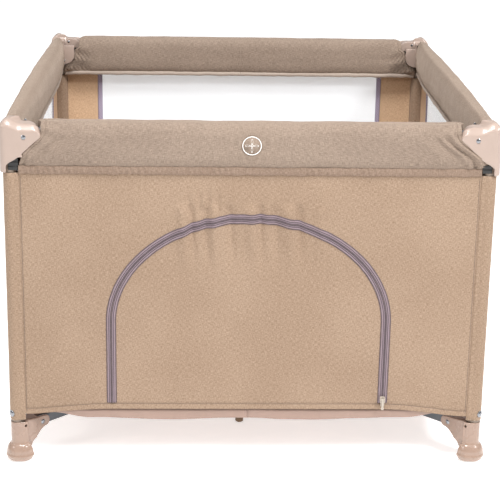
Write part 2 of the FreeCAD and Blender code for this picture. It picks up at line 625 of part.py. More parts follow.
def base_cloth():
    """Shallow cloth tray inside the walls, notched at the legs and open for the strap and the mat foot."""
    half = HALF_SPACING + PANEL_LINE - SHEET / 2 - CLOTH_GAP
    low, rim = BASE_TOP - SHEET, BASE_TOP + BASE_RIM
    inside = box(SHEET - half, half - SHEET, SHEET - half, half - SHEET, BASE_TOP, rim)
    tray = box(-half, half, -half, half, low, rim).cut(inside)
    notch = half - HALF_SPACING + SLEEVE_OUTER + CLOTH_GAP
    notches = [to_corner(box(HALF_SPACING - half, notch - half + HALF_SPACING, HALF_SPACING - half,
                             notch - half + HALF_SPACING, low, rim), corner) for corner in CORNERS]
    return cut(tray, notches + [strap_slot(), mat_foot_hole()])


def strap_slot():
    """Space for the pull strap through the floor and the mat."""
    wide = (STRAP_SPAN + STRAP_CLOTH) / 2 + HOLE_CLEARANCE
    deep = STRAP_WIDTH / 2 + HOLE_CLEARANCE
    return box(-wide, wide, -deep, deep, 0, OVERALL_HEIGHT)


def mat_foot_axis():
    """Floor point under the mat foot."""
    return V(MAT_FOOT_X, -HALF_SPACING + MAT_FOOT_INSET, 0)


def mat_foot_hole():
    """Space for the mat foot through the cloth floor."""
    return rod(MAT_FOOT_RADIUS + HOLE_CLEARANCE, mat_foot_axis(), mat_foot_axis() + Z * (BASE_TOP + 1))


def floor_mat():
    """Stiffened mat that lies on the cloth floor, with its corners cut off beside the legs."""
    half, low = MAT_WIDTH / 2, BASE_TOP + 0.5
    mat = box(-half, half, -half, half, low, low + MAT_THICKNESS)
    upright = [edge for edge in mat.Edges if edge.BoundBox.ZLength > MAT_THICKNESS / 2]
    return mat.makeFillet(24.0, upright).cut(strap_slot())


def mat_foot():
    """Round peg that carries the front of the mat on the floor."""
    peg = rod(MAT_FOOT_RADIUS, mat_foot_axis(), mat_foot_axis() + Z * (BASE_TOP + 0.5))
    rim = [edge for edge in peg.Edges if edge.BoundBox.ZMax < 0.01]
    return peg.makeFillet(2.5, rim)


# ---- zip door ------------------------------------------------------------------------------
def arch(half_width, top_extra, low, y_from, y_to):
    """Arched plate in the front wall: straight sides and a half ellipse on top."""
    shoulder = DOOR_SILL + DOOR_STRAIGHT
    crown = shoulder + DOOR_ARCH + top_extra
    sideways, upward = V(half_width, 0, shoulder), V(0, 0, crown)
    longer, shorter = (sideways, upward) if half_width > crown - shoulder else (upward, sideways)
    ellipse = Part.Ellipse(longer, shorter, V(0, 0, shoulder))
    depth = y_to - y_from
    whole = Part.Face(Part.Wire([ellipse.toShape()])).extrude(V(0, depth, 0))
    body = box(-half_width, half_width, 0, depth, low, shoulder)
    trim = box(-half_width - 1, half_width + 1, -1, depth + 1, low, crown + 1)
    return fuse([whole, body]).common(trim).translated(V(0, y_from, 0))


def arch_band(inner, outer, low, y_from, y_to):
    """Band between two arches, open at the bottom."""
    big = arch(DOOR_HALF_WIDTH + outer, outer, low, y_from, y_to)
    small = arch(DOOR_HALF_WIDTH + inner, inner, low - 5, y_from - 1, y_to + 1)
    return big.cut(small)


def front_panel():
    """Front wall of full cloth, open where the door flap is."""
    opening = arch(DOOR_HALF_WIDTH + ZIP_GAP, ZIP_GAP, DOOR_SILL - 3, DOOR_WALL_Y - 5, DOOR_WALL_Y + 5)
    return sleeved_wall().cut(opening)


def door_flap():
    """Arched flap that hangs on the sill, with a rolled hem about its hinge line."""
    flap = arch(DOOR_HALF_WIDTH, 0, DOOR_SILL, DOOR_WALL_Y - SHEET / 2, DOOR_WALL_Y + SHEET / 2)
    ends = [V(hand * DOOR_HALF_WIDTH, DOOR_WALL_Y, DOOR_SILL) for hand in (-1, 1)]
    hem = rod(SHEET * 0.9, *ends)
    return fuse([flap, hem])


def zip_tapes():
    """The two halves of the zip: the outer on the panel and the inner on the flap."""
    face = DOOR_WALL_Y - SHEET / 2
    low = DOOR_SILL + 3
    outer = arch_band(ZIP_GAP / 2 + 0.2, ZIP_TAPE + ZIP_GAP / 2, low, face - TAPE_THICKNESS, face)
    inner = arch_band(-ZIP_TAPE + ZIP_GAP / 2, ZIP_GAP / 2 - 0.2, low, face - TAPE_THICKNESS, face)
    return outer, inner


def zip_line():
    """Distance of the middle of the zip from the middle of the door."""
    return DOOR_HALF_WIDTH + ZIP_GAP / 2


def zip_front():
    """Plane on which the slider runs."""
    return DOOR_WALL_Y - SHEET / 2 - TAPE_THICKNESS - 0.3


def zip_stop():
    """Small box that ends the zip at the sill."""
    middle = zip_line()
    return box(middle - 4, middle + 4, zip_front() - 3, zip_front(), DOOR_SILL - 4, DOOR_SILL + 3)


def zip_slider():
    """Slider on the right side of the zip, just above its stop, with a bridge for the pull."""
    middle, front = zip_line(), zip_front()
    low = DOOR_SILL + 3.5
    body = box(middle - SLIDER_WIDTH / 2, middle + SLIDER_WIDTH / 2, front - SLIDER_DEPTH, front,
               low, low + SLIDER_HEIGHT)
    upright = [edge for edge in body.Edges if edge.BoundBox.YLength > SLIDER_DEPTH / 2]
    body = body.makeFillet(2.5, upright)
    axis = pull_axis()
    ears = [box(middle + side * 3.4 - 0.8, middle + side * 3.4 + 0.8, front - SLIDER_DEPTH - 3.4,
                front - SLIDER_DEPTH + 1, axis.z - 2, axis.z + 2) for side in (-1, 1)]
    pivot = rod(0.8, axis - X * 4.2, axis + X * 4.2)
    return fuse([body] + ears + [pivot])


def pull_axis():
    """Middle of the pull tab's pivot."""
    return V(zip_line(), zip_front() - SLIDER_DEPTH - 1.9, DOOR_SILL + 3.5 + SLIDER_HEIGHT - 4)


def zip_pull():
    """Pull tab that hangs from the slider."""
    axis = pull_axis()
    eye = rod(1.6, axis - X * 2.3, axis + X * 2.3)
    blade = box(axis.x - 2.3, axis.x + 2.3, axis.y - 0.8, axis.y + 0.8, axis.z - PULL_LENGTH, axis.z)
    grip = axis - Z * (PULL_LENGTH - PULL_GRIP_RADIUS)
    tip = rod(PULL_GRIP_RADIUS, grip - Y * 0.8, grip + Y * 0.8)
    hole = rod(0.8 + HINGE_CLEARANCE, axis - X * 5, axis + X * 5)
    return fuse([eye, blade, tip]).cut(hole)


def emblem():
    """Round sewn badge in the middle of the front cover."""
    face = -HALF_SPACING - CAP_FACE
    middle = V(0, face, COVER_TOP - EMBLEM_DROP)
    return rod(EMBLEM_RADIUS, middle, middle - Y * EMBLEM_THICKNESS)


# ---- the whole pen -------------------------------------------------------------------------
def corner_nodes():
    """Leg, cap, foot and fasteners of each corner."""
    makers = {"leg_tube": leg_tube(), "corner_cap": corner_cap(), "foot": foot(),
              "rivets": Part.makeCompound(fasteners())}
    return {f"{name}_{corner}": to_corner(shape, corner)
            for corner in CORNERS for name, shape in makers.items()}


def rail_ends(side):
    """Names of the halves of a side's rail, the one on its left end first, seen from outside."""
    return {"front": ("left", "right"), "right": ("front", "back"),
            "back": ("right", "left"), "left": ("back", "front")}[side]


OPEN_END = {"front": "right", "right": "back", "back": "right", "left": "back"}


def rail_nodes():
    """Half rails, latch, button and cover of each side."""
    nodes = {}
    for side in SIDES:
        for hand, end in zip((-1, 1), rail_ends(side)):
            nodes[f"half_rail_{side}_{end}"] = to_side(half_rail(hand, end == OPEN_END[side]), side)
        nodes[f"latch_{side}"] = to_side(Part.makeCompound(latch()), side)
        nodes[f"latch_button_{side}"] = to_side(latch_button(), side)
        along_front = side in ("front", "back")
        start = CAP_REACH + 2 if along_front else BRACKET_REACH + 2
        nodes[f"rail_cover_{side}"] = to_side(rail_cover(start), side)
    return nodes


def base_nodes():
    """Arms, hub and what belongs to the floor."""
    nodes = {f"base_arm_{corner}": to_corner(base_arm(), corner) for corner in CORNERS}
    nodes.update(
        hub=hub(), hub_pins=Part.makeCompound(hub_pins()), hub_foot=hub_foot(), pull_strap=pull_strap(),
        base_cloth=base_cloth(), floor_mat=floor_mat(), mat_foot=mat_foot(),
    )
    return nodes


def wall_nodes():
    """Front wall with its door, and the three mesh walls."""
    outer_tape, inner_tape = zip_tapes()
    return {
        "front_panel": front_panel(), "door_flap": door_flap(), "zip_tape_panel": outer_tape,
        "zip_tape_flap": inner_tape, "zip_stop": zip_stop(), "zip_slider": zip_slider(),
        "zip_pull": zip_pull(), "emblem": emblem(), "mesh_wall_back": to_side(sleeved_wall(), "back"),
        "mesh_wall_left": to_side(wall_sheet(SLEEVE_OUTER), "left"),
        "mesh_wall_right": to_side(wall_sheet(SLEEVE_OUTER), "right"),
    }


def all_nodes():
    """Every node of the pen, by name."""
    nodes = {}
    for group in (corner_nodes, rail_nodes, base_nodes, wall_nodes):
        nodes.update(group())
    return nodes


def main():
    """Write one STEP file for each node."""
    os.makedirs("parts", exist_ok=True)
    for name, shape in all_nodes().items():
        shape.exportStep(f"parts/{name}.step")


if __name__ == "__main__":
    main()
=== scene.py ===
"""Looks of the folding playpen: cloth, padding, zip, mouldings and the room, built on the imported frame."""
import logging
import math
from bisect import bisect_left
from collections.abc import Callable, Sequence
from dataclasses import dataclass
from enum import Enum

import bmesh
import bpy
from mathutils import Matrix, Vector, noise


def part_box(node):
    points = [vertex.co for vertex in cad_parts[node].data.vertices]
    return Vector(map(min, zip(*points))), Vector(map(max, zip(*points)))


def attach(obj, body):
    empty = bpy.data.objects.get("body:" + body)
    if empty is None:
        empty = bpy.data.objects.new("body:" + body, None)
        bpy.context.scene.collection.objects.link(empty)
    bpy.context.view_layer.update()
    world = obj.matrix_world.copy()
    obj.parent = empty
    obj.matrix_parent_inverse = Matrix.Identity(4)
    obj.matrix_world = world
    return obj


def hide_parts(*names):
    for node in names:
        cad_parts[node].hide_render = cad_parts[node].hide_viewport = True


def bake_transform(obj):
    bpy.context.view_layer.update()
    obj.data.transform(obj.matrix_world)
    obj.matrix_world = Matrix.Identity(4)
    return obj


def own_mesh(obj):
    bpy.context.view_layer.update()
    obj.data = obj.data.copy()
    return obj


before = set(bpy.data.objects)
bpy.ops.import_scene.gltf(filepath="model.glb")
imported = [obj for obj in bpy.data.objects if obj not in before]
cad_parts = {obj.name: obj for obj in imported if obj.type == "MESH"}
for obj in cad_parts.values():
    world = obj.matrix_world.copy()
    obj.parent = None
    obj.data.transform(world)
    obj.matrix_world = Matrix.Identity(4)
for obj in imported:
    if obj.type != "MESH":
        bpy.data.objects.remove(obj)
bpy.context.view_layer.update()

LOG = logging.getLogger("playpen")
MM = 0.001

Point = tuple[float, float, float]
Place = Callable[[float, float], Point]


class Side(Enum):
    """The four sides of the pen, by how many quarter turns from the front."""

    FRONT = 0
    RIGHT = 1
    BACK = 2
    LEFT = 3

    @property
    def label(self) -> str:
        """The side's word in node and body names."""
        return self.name.lower()

    def turn(self, point: Point) -> Point:
        """A point drawn on the front side, turned to this side."""
        x, y, z = point
        for _ in range(self.value):
            x, y = -y, x
        return x, y, z


class Corner(Enum):
    """The four corners, by the signs of X and Y."""

    FRONT_LEFT = (-1, -1)
    FRONT_RIGHT = (1, -1)
    BACK_RIGHT = (1, 1)
    BACK_LEFT = (-1, 1)

    @property
    def label(self) -> str:
        """The corner's words in node and body names."""
        return self.name.lower()


# ---- sizes read from the frame, in millimetres -----------------------------------------------
def span(node: str) -> tuple[Vector, Vector]:
    """Lowest and highest corner of a CAD node.

    Args:
        node: name of the CAD node.

    Returns:
        The two corners in millimetres.
    """
    low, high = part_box(node)
    return low / MM, high / MM


LEG_BOX = span("leg_tube_front_left")
COVER_BOX = span("rail_cover_front")
FLAP_BOX = span("door_flap")
TAPE_BOX = span("zip_tape_panel")
MAT_BOX = span("floor_mat")
BASE_BOX = span("base_cloth")
STRAP_BOX = span("pull_strap")
EMBLEM_BOX = span("emblem")

LEG_LINE = -(LEG_BOX[0].x + LEG_BOX[1].x) / 2
WALL_LINE = -(FLAP_BOX[0].y + FLAP_BOX[1].y) / 2
COVER_LOW, COVER_HIGH = COVER_BOX[0].z, COVER_BOX[1].z
COVER_OUTER = -COVER_BOX[0].y
COVER_INNER = -COVER_BOX[1].y
DOOR_HALF = FLAP_BOX[1].x
DOOR_SILL = FLAP_BOX[0].z + 1.8
DOOR_CROWN = FLAP_BOX[1].z
DOOR_ARCH = 222.0
DOOR_SHOULDER = DOOR_CROWN - DOOR_ARCH
PANEL_EDGE = LEG_LINE - 16.5
PANEL_LOW = 118.0
PANEL_HIGH = COVER_LOW - 1.0


# ---- small sums ------------------------------------------------------------------------------
def ease(value: float, start: float, end: float) -> float:
    """Smooth step from 0 at start to 1 at end, in either direction."""
    share = min(1.0, max(0.0, (value - start) / (end - start)))
    return share * share * (3 - 2 * share)


def hump(value: float, middle: float, width: float) -> float:
    """Bell curve of height 1 about middle, falling off over width."""
    return math.exp(-(((value - middle) / width) ** 2))


def grain(x: float, y: float, z: float, size: float, seed: float = 0.0) -> float:
    """Smooth noise from about -1 to 1 with features of one size in millimetres."""
    return noise.noise(Vector((x / size + 17.3 * seed, y / size - 5.1 * seed, z / size + 2.7 * seed)))


def steps(start: float, end: float, pitch: float) -> list[float]:
    """Evenly spaced values from start to end, about pitch apart.

    Args:
        start: first value.
        end: last value.
        pitch: wanted spacing.

    Returns:
        The values, both ends included.
    """
    count = max(1, round(abs(end - start) / pitch))
    return [start + (end - start) * index / count for index in range(count + 1)]


def between(table: Sequence[tuple[float, float]], value: float) -> float:
    """Straight-line reading of a table of pairs that rise in their first number."""
    keys = [key for key, _ in table]
    if value <= keys[0]:
        return table[0][1]
    if value >= keys[-1]:
        return table[-1][1]
    index = bisect_left(keys, value)
    (low, start), (high, end) = table[index - 1], table[index]
    return start + (end - start) * (value - low) / (high - low)


# ---- materials -------------------------------------------------------------------------------
def colour(code: str) -> tuple[float, float, float, float]:
    """Linear colour of an sRGB hex code."""
    parts = [int(code[index : index + 2], 16) / 255 for index in (1, 3, 5)]
    linear = [part / 12.92 if part <= 0.04045 else ((part + 0.055) / 1.055) ** 2.4 for part in parts]
    return (*linear, 1.0)


def add(material: bpy.types.Material, kind: str, settings: dict | None = None,
        links: dict | None = None) -> bpy.types.ShaderNode:
    """Add one shader node.

    Args:
        material: the material whose tree gets the node.
        kind: node type without its ShaderNode prefix.
        settings: values by property name or by input name or number.
        links: output sockets by the input name or number they go to.

    Returns:
        The new node.
    """
    node = material.node_tree.nodes.new("ShaderNode" + kind)
    for key, value in (settings or {}).items():
        if isinstance(key, str) and hasattr(node, key):
            setattr(node, key, value)
        else:
            node.inputs[key].default_value = value
    for key, socket in (links or {}).items():
        material.node_tree.links.new(socket, node.inputs[key])
    return node


def blank(name: str) -> bpy.types.Material:
    """An empty node material of this name."""
    material = bpy.data.materials.new(name)
    material.use_nodes = True
    material.node_tree.nodes.clear()
    return material


def finish(material: bpy.types.Material, settings: dict, links: dict) -> bpy.types.Material:
    """Close a material with a Principled surface.

    Args:
        material: the material to close.
        settings: values for the Principled inputs.
        links: sockets for the Principled inputs.

    Returns:
        The same material.
    """
    shader = add(material, "BsdfPrincipled", settings, links)
    add(material, "OutputMaterial", links={"Surface": shader.outputs[0]})
    return material


@dataclass(frozen=True)
class Linen:
    """Linen-look polyester: two-tone yarns woven plain, matt, with a slight sheen of loose fibre."""

    name: str
    dark: str
    light: str
    thread: float = 2.3
    streak: float = 26.0
    cross: float = 1.0
    depth: float = 0.35
    sheen: float = 0.25

    def make(self) -> bpy.types.Material:
        """Build the material. Yarns are drawn about four times too coarse, so that they show."""
        material = blank(self.name)
        uv = add(material, "UVMap", {"uv_map": "weave"})
        fine, long = 1 / (self.thread * MM), 1 / (self.streak * MM)
        warp_map = add(material, "Mapping", {"Scale": (fine, long, 1.0)}, {"Vector": uv.outputs[0]})
        weft_map = add(material, "Mapping", {"Scale": (long, fine, 1.0)}, {"Vector": uv.outputs[0]})
        speck = {"noise_dimensions": "2D", "Scale": 1.0, "Detail": 2.0, "Roughness": 0.65}
        warp = add(material, "TexNoise", speck, {"Vector": warp_map.outputs[0]})
        weft = add(material, "TexNoise", speck, {"Vector": weft_map.outputs[0]})
        patch = {"noise_dimensions": "2D", "Scale": 6.0, "Detail": 3.0}
        mottle = add(material, "TexNoise", patch, {"Vector": uv.outputs[0]})
        both = add(material, "Math", {"operation": "MULTIPLY_ADD", 1: self.cross},
                   {0: weft.outputs[0], 2: warp.outputs[0]})
        middle = 0.5 * (1 + self.cross)
        tone = add(material, "MapRange", {"From Min": middle - 0.4, "From Max": middle + 0.4},
                   {"Value": both.outputs[0]})
        drift = {"From Min": 0.35, "From Max": 0.65, "To Min": -0.06, "To Max": 0.06}
        shift = add(material, "MapRange", drift, {"Value": mottle.outputs[0]})
        total = add(material, "Math", {"operation": "ADD", "use_clamp": True},
                    {0: tone.outputs[0], 1: shift.outputs[0]})
        tint = add(material, "Mix", {"data_type": "RGBA", 6: colour(self.dark), 7: colour(self.light)},
                   {0: total.outputs[0]})
        relief = add(material, "Bump", {"Strength": self.depth, "Distance": 0.7 * MM},
                     {"Height": both.outputs[0]})
        values = {"Roughness": 0.86, "Specular IOR Level": 0.25, "Sheen Weight": self.sheen,
                  "Sheen Roughness": 0.45, "Sheen Tint": colour("#f0dccb")}
        return finish(material, values, {"Base Color": tint.outputs[2], "Normal": relief.outputs[0]})


@dataclass(frozen=True)
class Moulding:
    """Injection-moulded plastic: even colour, smooth, with a faint cloud in its gloss."""

    name: str
    tone: str
    rough: float = 0.3
    coat: float = 0.0
    cloud: float = 0.06

    def make(self) -> bpy.types.Material:
        """Build the material."""
        material = blank(self.name)
        place = add(material, "TexCoord")
        cloud = add(material, "TexNoise", {"Scale": 45.0, "Detail": 3.0}, {"Vector": place.outputs["Object"]})
        base = colour(self.tone)
        low = tuple(part * (1 - self.cloud) for part in base[:3]) + (1.0,)
        high = tuple(min(1.0, part * (1 + self.cloud)) for part in base[:3]) + (1.0,)
        tint = add(material, "Mix", {"data_type": "RGBA", 6: low, 7: high}, {0: cloud.outputs[0]})
        gloss = add(material, "MapRange", {"To Min": self.rough - 0.05, "To Max": self.rough + 0.07},
                    {"Value": cloud.outputs[0]})
        skin = add(material, "TexNoise", {"Scale": 900.0, "Detail": 1.0}, {"Vector": place.outputs["Object"]})
        relief = add(material, "Bump", {"Strength": 0.05, "Distance": 0.2 * MM}, {"Height": skin.outputs[0]})
        values = {"IOR": 1.5, "Coat Weight": self.coat, "Coat Roughness": 0.12}
        return finish(material, values, {
            "Base Color": tint.outputs[2], "Roughness": gloss.outputs[0], "Normal": relief.outputs[0],
        })


@dataclass(frozen=True)
class Steel:
    """Steel: bare plated when metallic is 1, powder coated when it is 0, with the orange peel of its coat."""

    name: str
    tone: str
    metallic: float
    rough: float
    peel: float = 0.12

    def make(self) -> bpy.types.Material:
        """Build the material."""
        material = blank(self.name)
        place = add(material, "TexCoord")
        wear = add(material, "TexNoise", {"Scale": 120.0, "Detail": 4.0}, {"Vector": place.outputs["Object"]})
        base = colour(self.tone)
        low = tuple(part * 0.9 for part in base[:3]) + (1.0,)
        tint = add(material, "Mix", {"data_type": "RGBA", 6: low, 7: base}, {0: wear.outputs[0]})
        gloss = add(material, "MapRange", {"To Min": self.rough - 0.06, "To Max": self.rough + 0.08},
                    {"Value": wear.outputs[0]})
        skin = add(material, "TexNoise", {"Scale": 700.0, "Detail": 1.0}, {"Vector": place.outputs["Object"]})
        relief = add(material, "Bump", {"Strength": self.peel, "Distance": 0.15 * MM},
                     {"Height": skin.outputs[0]})
        return finish(material, {"Metallic": self.metallic}, {
            "Base Color": tint.outputs[2], "Roughness": gloss.outputs[0], "Normal": relief.outputs[0],
        })


@dataclass(frozen=True)
class Tape:
    """Woven tape: diagonal ribs of two tones across a flat ribbon."""

    name: str
    dark: str
    light: str
    rib: float = 2.6
    slant: float = 1.0
    band: float = 0.0

    def make(self) -> bpy.types.Material:
        """Build the material. Ribs are drawn about twice too wide, so that they show."""
        material = blank(self.name)
        uv = add(material, "UVMap", {"uv_map": "weave"})
        turn = add(material, "Mapping", {"Rotation": (0.0, 0.0, math.radians(45) * self.slant)},
                   {"Vector": uv.outputs[0]})
        ribs = add(material, "TexWave", {"Scale": 0.314 / (self.rib * MM) , "Distortion": 0.6, "Detail": 1.0},
                   {"Vector": turn.outputs[0]})
        tint = add(material, "Mix", {"data_type": "RGBA", 6: colour(self.dark), 7: colour(self.light)},
                   {0: ribs.outputs[1]})
        if self.band:
            lines = add(material, "TexWave", {"bands_direction": "Y", "Scale": 0.314 / (self.band * MM)},
                        {"Vector": uv.outputs[0]})
            cord = add(material, "MapRange", {"From Min": 0.35, "From Max": 0.05},
                       {"Value": lines.outputs[1]})
            tint = add(material, "Mix", {"data_type": "RGBA", 7: colour("#40353a")},
                       {0: cord.outputs[0], 6: tint.outputs[2]})
        relief = add(material, "Bump", {"Strength": 0.4, "Distance": 0.5 * MM}, {"Height": ribs.outputs[1]})
        values = {"Roughness": 0.75, "Specular IOR Level": 0.3}
        return finish(material, values, {"Base Color": tint.outputs[2], "Normal": relief.outputs[0]})


@dataclass(frozen=True)
class Netting:
    """Warp-knitted polyester netting: white yarn with open cells."""

    name: str
    tone: str
    cell: float = 2.4
    opening: float = 0.42

    def make(self) -> bpy.types.Material:
        """Build the material. Cells are drawn about twice too wide, so that they show."""
        material = blank(self.name)
        uv = add(material, "UVMap", {"uv_map": "weave"})
        cells = {"voronoi_dimensions": "2D", "feature": "F1", "Scale": 1 / (self.cell * MM),
                 "Randomness": 0.15}
        spots = add(material, "TexVoronoi", cells, {"Vector": uv.outputs[0]})
        hole = add(material, "MapRange", {"From Min": self.opening - 0.08, "From Max": self.opening + 0.04,
                                          "To Min": 0.45, "To Max": 1.0}, {"Value": spots.outputs[0]})
        values = {"Base Color": colour(self.tone), "Roughness": 0.7, "Specular IOR Level": 0.3}
        return finish(material, values, {"Alpha": hole.outputs[0]})


@dataclass(frozen=True)
class Thread:
    """Spun polyester sewing thread or a moulded nylon coil: one tone with a fine twist."""

    name: str
    dark: str
    light: str
    pitch: float = 3.0

    def make(self) -> bpy.types.Material:
        """Build the material."""
        material = blank(self.name)
        uv = add(material, "UVMap", {"uv_map": "weave"})
        twist = add(material, "TexWave", {"Scale": 0.314 / (self.pitch * MM), "Distortion": 0.3},
                    {"Vector": uv.outputs[0]})
        tint = add(material, "Mix", {"data_type": "RGBA", 6: colour(self.dark), 7: colour(self.light)},
                   {0: twist.outputs[1]})
        return finish(material, {"Roughness": 0.6}, {"Base Color": tint.outputs[2]})


@dataclass(frozen=True)
class Nylon:
    """Coated nylon taffeta: thin, slightly glossy cloth with small creases."""

    name: str
    tone: str

    def make(self) -> bpy.types.Material:
        """Build the material."""
        material = blank(self.name)
        uv = add(material, "UVMap", {"uv_map": "weave"})
        crease = add(material, "TexNoise", {"noise_dimensions": "2D", "Scale": 22.0, "Detail": 4.0,
                                            "Distortion": 0.8}, {"Vector": uv.outputs[0]})
        # The tint is darker where the crease noise is low, in the hollows of the creases: painted shade in
        # the creases.
        base = colour(self.tone)
        low = tuple(part * 0.84 for part in base[:3]) + (1.0,)
        tint = add(material, "Mix", {"data_type": "RGBA", 6: low, 7: base}, {0: crease.outputs[0]})
        relief = add(material, "Bump", {"Strength": 0.35, "Distance": 2.5 * MM},
                     {"Height": crease.outputs[0]})
        values = {"Roughness": 0.5, "Sheen Weight": 0.1}
        return finish(material, values, {"Base Color": tint.outputs[2], "Normal": relief.outputs[0]})


@dataclass(frozen=True)
class Finishes:
    """Every finish of the pen, made once."""

    wall: bpy.types.Material
    cover: bpy.types.Material
    binding: bpy.types.Material
    piping: bpy.types.Material
    border: bpy.types.Material
    mat: bpy.types.Material
    netting: bpy.types.Material
    edge_tape: bpy.types.Material
    zip_tape: bpy.types.Material
    zip_coil: bpy.types.Material
    seam: bpy.types.Material
    white_thread: bpy.types.Material
    base: bpy.types.Material
    webbing: bpy.types.Material
    cap: bpy.types.Material
    foot: bpy.types.Material
    black: bpy.types.Material
    hub: bpy.types.Material
    peg: bpy.types.Material
    enamel: bpy.types.Material
    plated: bpy.types.Material
    leg_paint: bpy.types.Material
    arm_paint: bpy.types.Material
    rail_paint: bpy.types.Material

    @classmethod
    def make(cls) -> "Finishes":
        """Build all the materials."""
        return cls(
            wall=Linen("Linen_Polyester_Plain_Woven", "#79624f", "#a58f7b", 1.15, 6.5).make(),
            cover=Linen("Linen_Polyester_Streaky_Woven", "#6f5f54", "#998879",
                        1.2, 10.0, 1.2, 0.35, 0.35).make(),
            # The binding is the wall's linen drawn darker: painted shade under the overhang of the rail
            # cover.
            binding=Linen("Linen_Polyester_Bias_Cut", "#6f5b4d", "#917d6e", 1.4, 6.0).make(),
            piping=Linen("Linen_Polyester_Rolled_Hem", "#8f8074", "#b5a79c", 1.4, 5.0).make(),
            # The border is the wall's weave drawn lighter and more orange: partly its own warmer tone, partly
            # painted light that stands in for the light inside the pen.
            border=Linen("Linen_Polyester_Border_Woven", "#a9876b", "#d8b998", 1.15, 6.5).make(),
            mat=Linen("Linen_Polyester_Mat_Cover", "#8d7562", "#ab9482", 1.6, 10.0).make(),
            netting=Netting("Polyester_Netting_Warp_Knitted", "#eef1f5").make(),
            edge_tape=Tape("Polyester_Tape_Twill_Woven", "#5f5070", "#c6bccb", 5.0).make(),
            zip_tape=Tape("Zip_Tape_Herringbone_Woven", "#75656a", "#93838a", 2.2, 0.4, 4.6).make(),
            zip_coil=Thread("Nylon_Zip_Coil_Moulded", "#3d3236", "#5f5054", 2.2).make(),
            seam=Thread("Polyester_Thread_Spun", "#5b4a3e", "#78655a").make(),
            white_thread=Thread("Rayon_Thread_Embroidered", "#e9e6e2", "#ffffff").make(),
            base=Nylon("Nylon_Taffeta_Coated", "#9a8073").make(),
            webbing=Tape("Polypropylene_Webbing_Woven", "#4a3f38", "#6a5c52", 3.0).make(),
            cap=Moulding("Polypropylene_Gloss_Moulded_Cap", "#a28f84", 0.3, 0.15).make(),
            foot=Moulding("Polypropylene_Gloss_Moulded_Foot", "#947c6d", 0.27, 0.25).make(),
            black=Moulding("Nylon_Black_Moulded", "#1b1918", 0.35).make(),
            hub=Moulding("Nylon_Charcoal_Moulded", "#4a4542", 0.5).make(),
            peg=Moulding("Polypropylene_Taupe_Moulded", "#7d654d", 0.45).make(),
            enamel=Moulding("Zinc_Casting_Cream_Enamelled", "#a59a8d", 0.25, 0.3).make(),
            plated=Steel("Steel_Zinc_Plated", "#8b8d91", 1.0, 0.2, 0.05).make(),
            leg_paint=Steel("Steel_Tube_Beige_Powder_Coated", "#8a7a6c", 0.0, 0.4).make(),
            arm_paint=Steel("Steel_Flat_Tube_Grey_Painted", "#565a5e", 0.4, 0.4).make(),
            rail_paint=Steel("Steel_Tube_Grey_Painted", "#66666a", 0.4, 0.4).make(),
        )


# ---- making meshes ---------------------------------------------------------------------------
def to_object(name: str, mesh: bmesh.types.BMesh, material: bpy.types.Material,
              smooth: bool = True) -> bpy.types.Object:
    """Turn a finished bmesh into an object of the scene.

    Args:
        name: name of the new object.
        mesh: the bmesh, in metres, which is freed.
        material: its material.
        smooth: whether its faces are shaded smooth.

    Returns:
        The new object.
    """
    for face in mesh.faces:
        face.smooth = smooth
    data = bpy.data.meshes.new(name)
    mesh.to_mesh(data)
    mesh.free()
    data.materials.append(material)
    obj = bpy.data.objects.new(name, data)
    bpy.context.scene.collection.objects.link(obj)
    return obj


@dataclass
class Cloth:
    """A grid of cloth that a function lays in place. u and v are millimetres along the cloth."""

    name: str
    us: Sequence[float]
    vs: Sequence[float]
    place: Place
    side: Side = Side.FRONT
    keep: Callable[[float, float], bool] | None = None
    snap: Callable[[float, float], tuple[float, float]] | None = None
    thick: float = 0.0
    closed: bool = False
    filled: bool = False

    def build(self, material: bpy.types.Material) -> bpy.types.Object:
        """Build the piece.

        Args:
            material: its material.

        Returns:
            The new object, with a map named weave that is in metres.
        """
        mesh = bmesh.new()
        columns, rows = len(self.us) - 1, len(self.vs) - 1
        bmesh.ops.create_grid(mesh, x_segments=columns, y_segments=rows, size=0.5)
        flat = {}
        for vertex in mesh.verts:
            column, row = round((vertex.co.x + 0.5) * columns), round((vertex.co.y + 0.5) * rows)
            flat[vertex] = (self.us[column], self.vs[row])
        if self.keep is not None:
            self._open(mesh, flat)
        for vertex in mesh.verts:
            vertex.co = Vector(self.side.turn(self.place(*flat[vertex]))) * MM
        layer = mesh.loops.layers.uv.new("weave")
        for face in mesh.faces:
            for loop in face.loops:
                u, v = flat[loop.vert]
                loop[layer].uv = (u * MM, v * MM)
        if self.closed:
            bmesh.ops.remove_doubles(mesh, verts=mesh.verts, dist=0.02 * MM)
        if self.filled:
            rims = [edge for edge in mesh.edges if edge.is_boundary]
            bmesh.ops.holes_fill(mesh, edges=rims, sides=0)
        if self.closed or self.filled:
            bmesh.ops.recalc_face_normals(mesh, faces=mesh.faces)
        obj = to_object(self.name, mesh, material)
        if self.thick:
            wall = obj.modifiers.new("cloth_thickness", "SOLIDIFY")
            wall.thickness, wall.offset = self.thick * MM, 0.0
        LOG.info("%s", self.name)
        return obj

    def _open(self, mesh: bmesh.types.BMesh, flat: dict) -> None:
        """Cut the opening out of the grid and pull its ragged edge onto the outline."""
        gone = []
        for face in mesh.faces:
            corners = [flat[vertex] for vertex in face.verts]
            middle = [sum(part) / len(corners) for part in zip(*corners)]
            if not self.keep(*middle):
                gone.append(face)
        rim = {vertex for face in gone for vertex in face.verts}
        bmesh.ops.delete(mesh, geom=gone, context="FACES")
        for vertex in rim:
            if vertex.is_valid and self.snap is not None:
                flat[vertex] = self.snap(*flat[vertex])


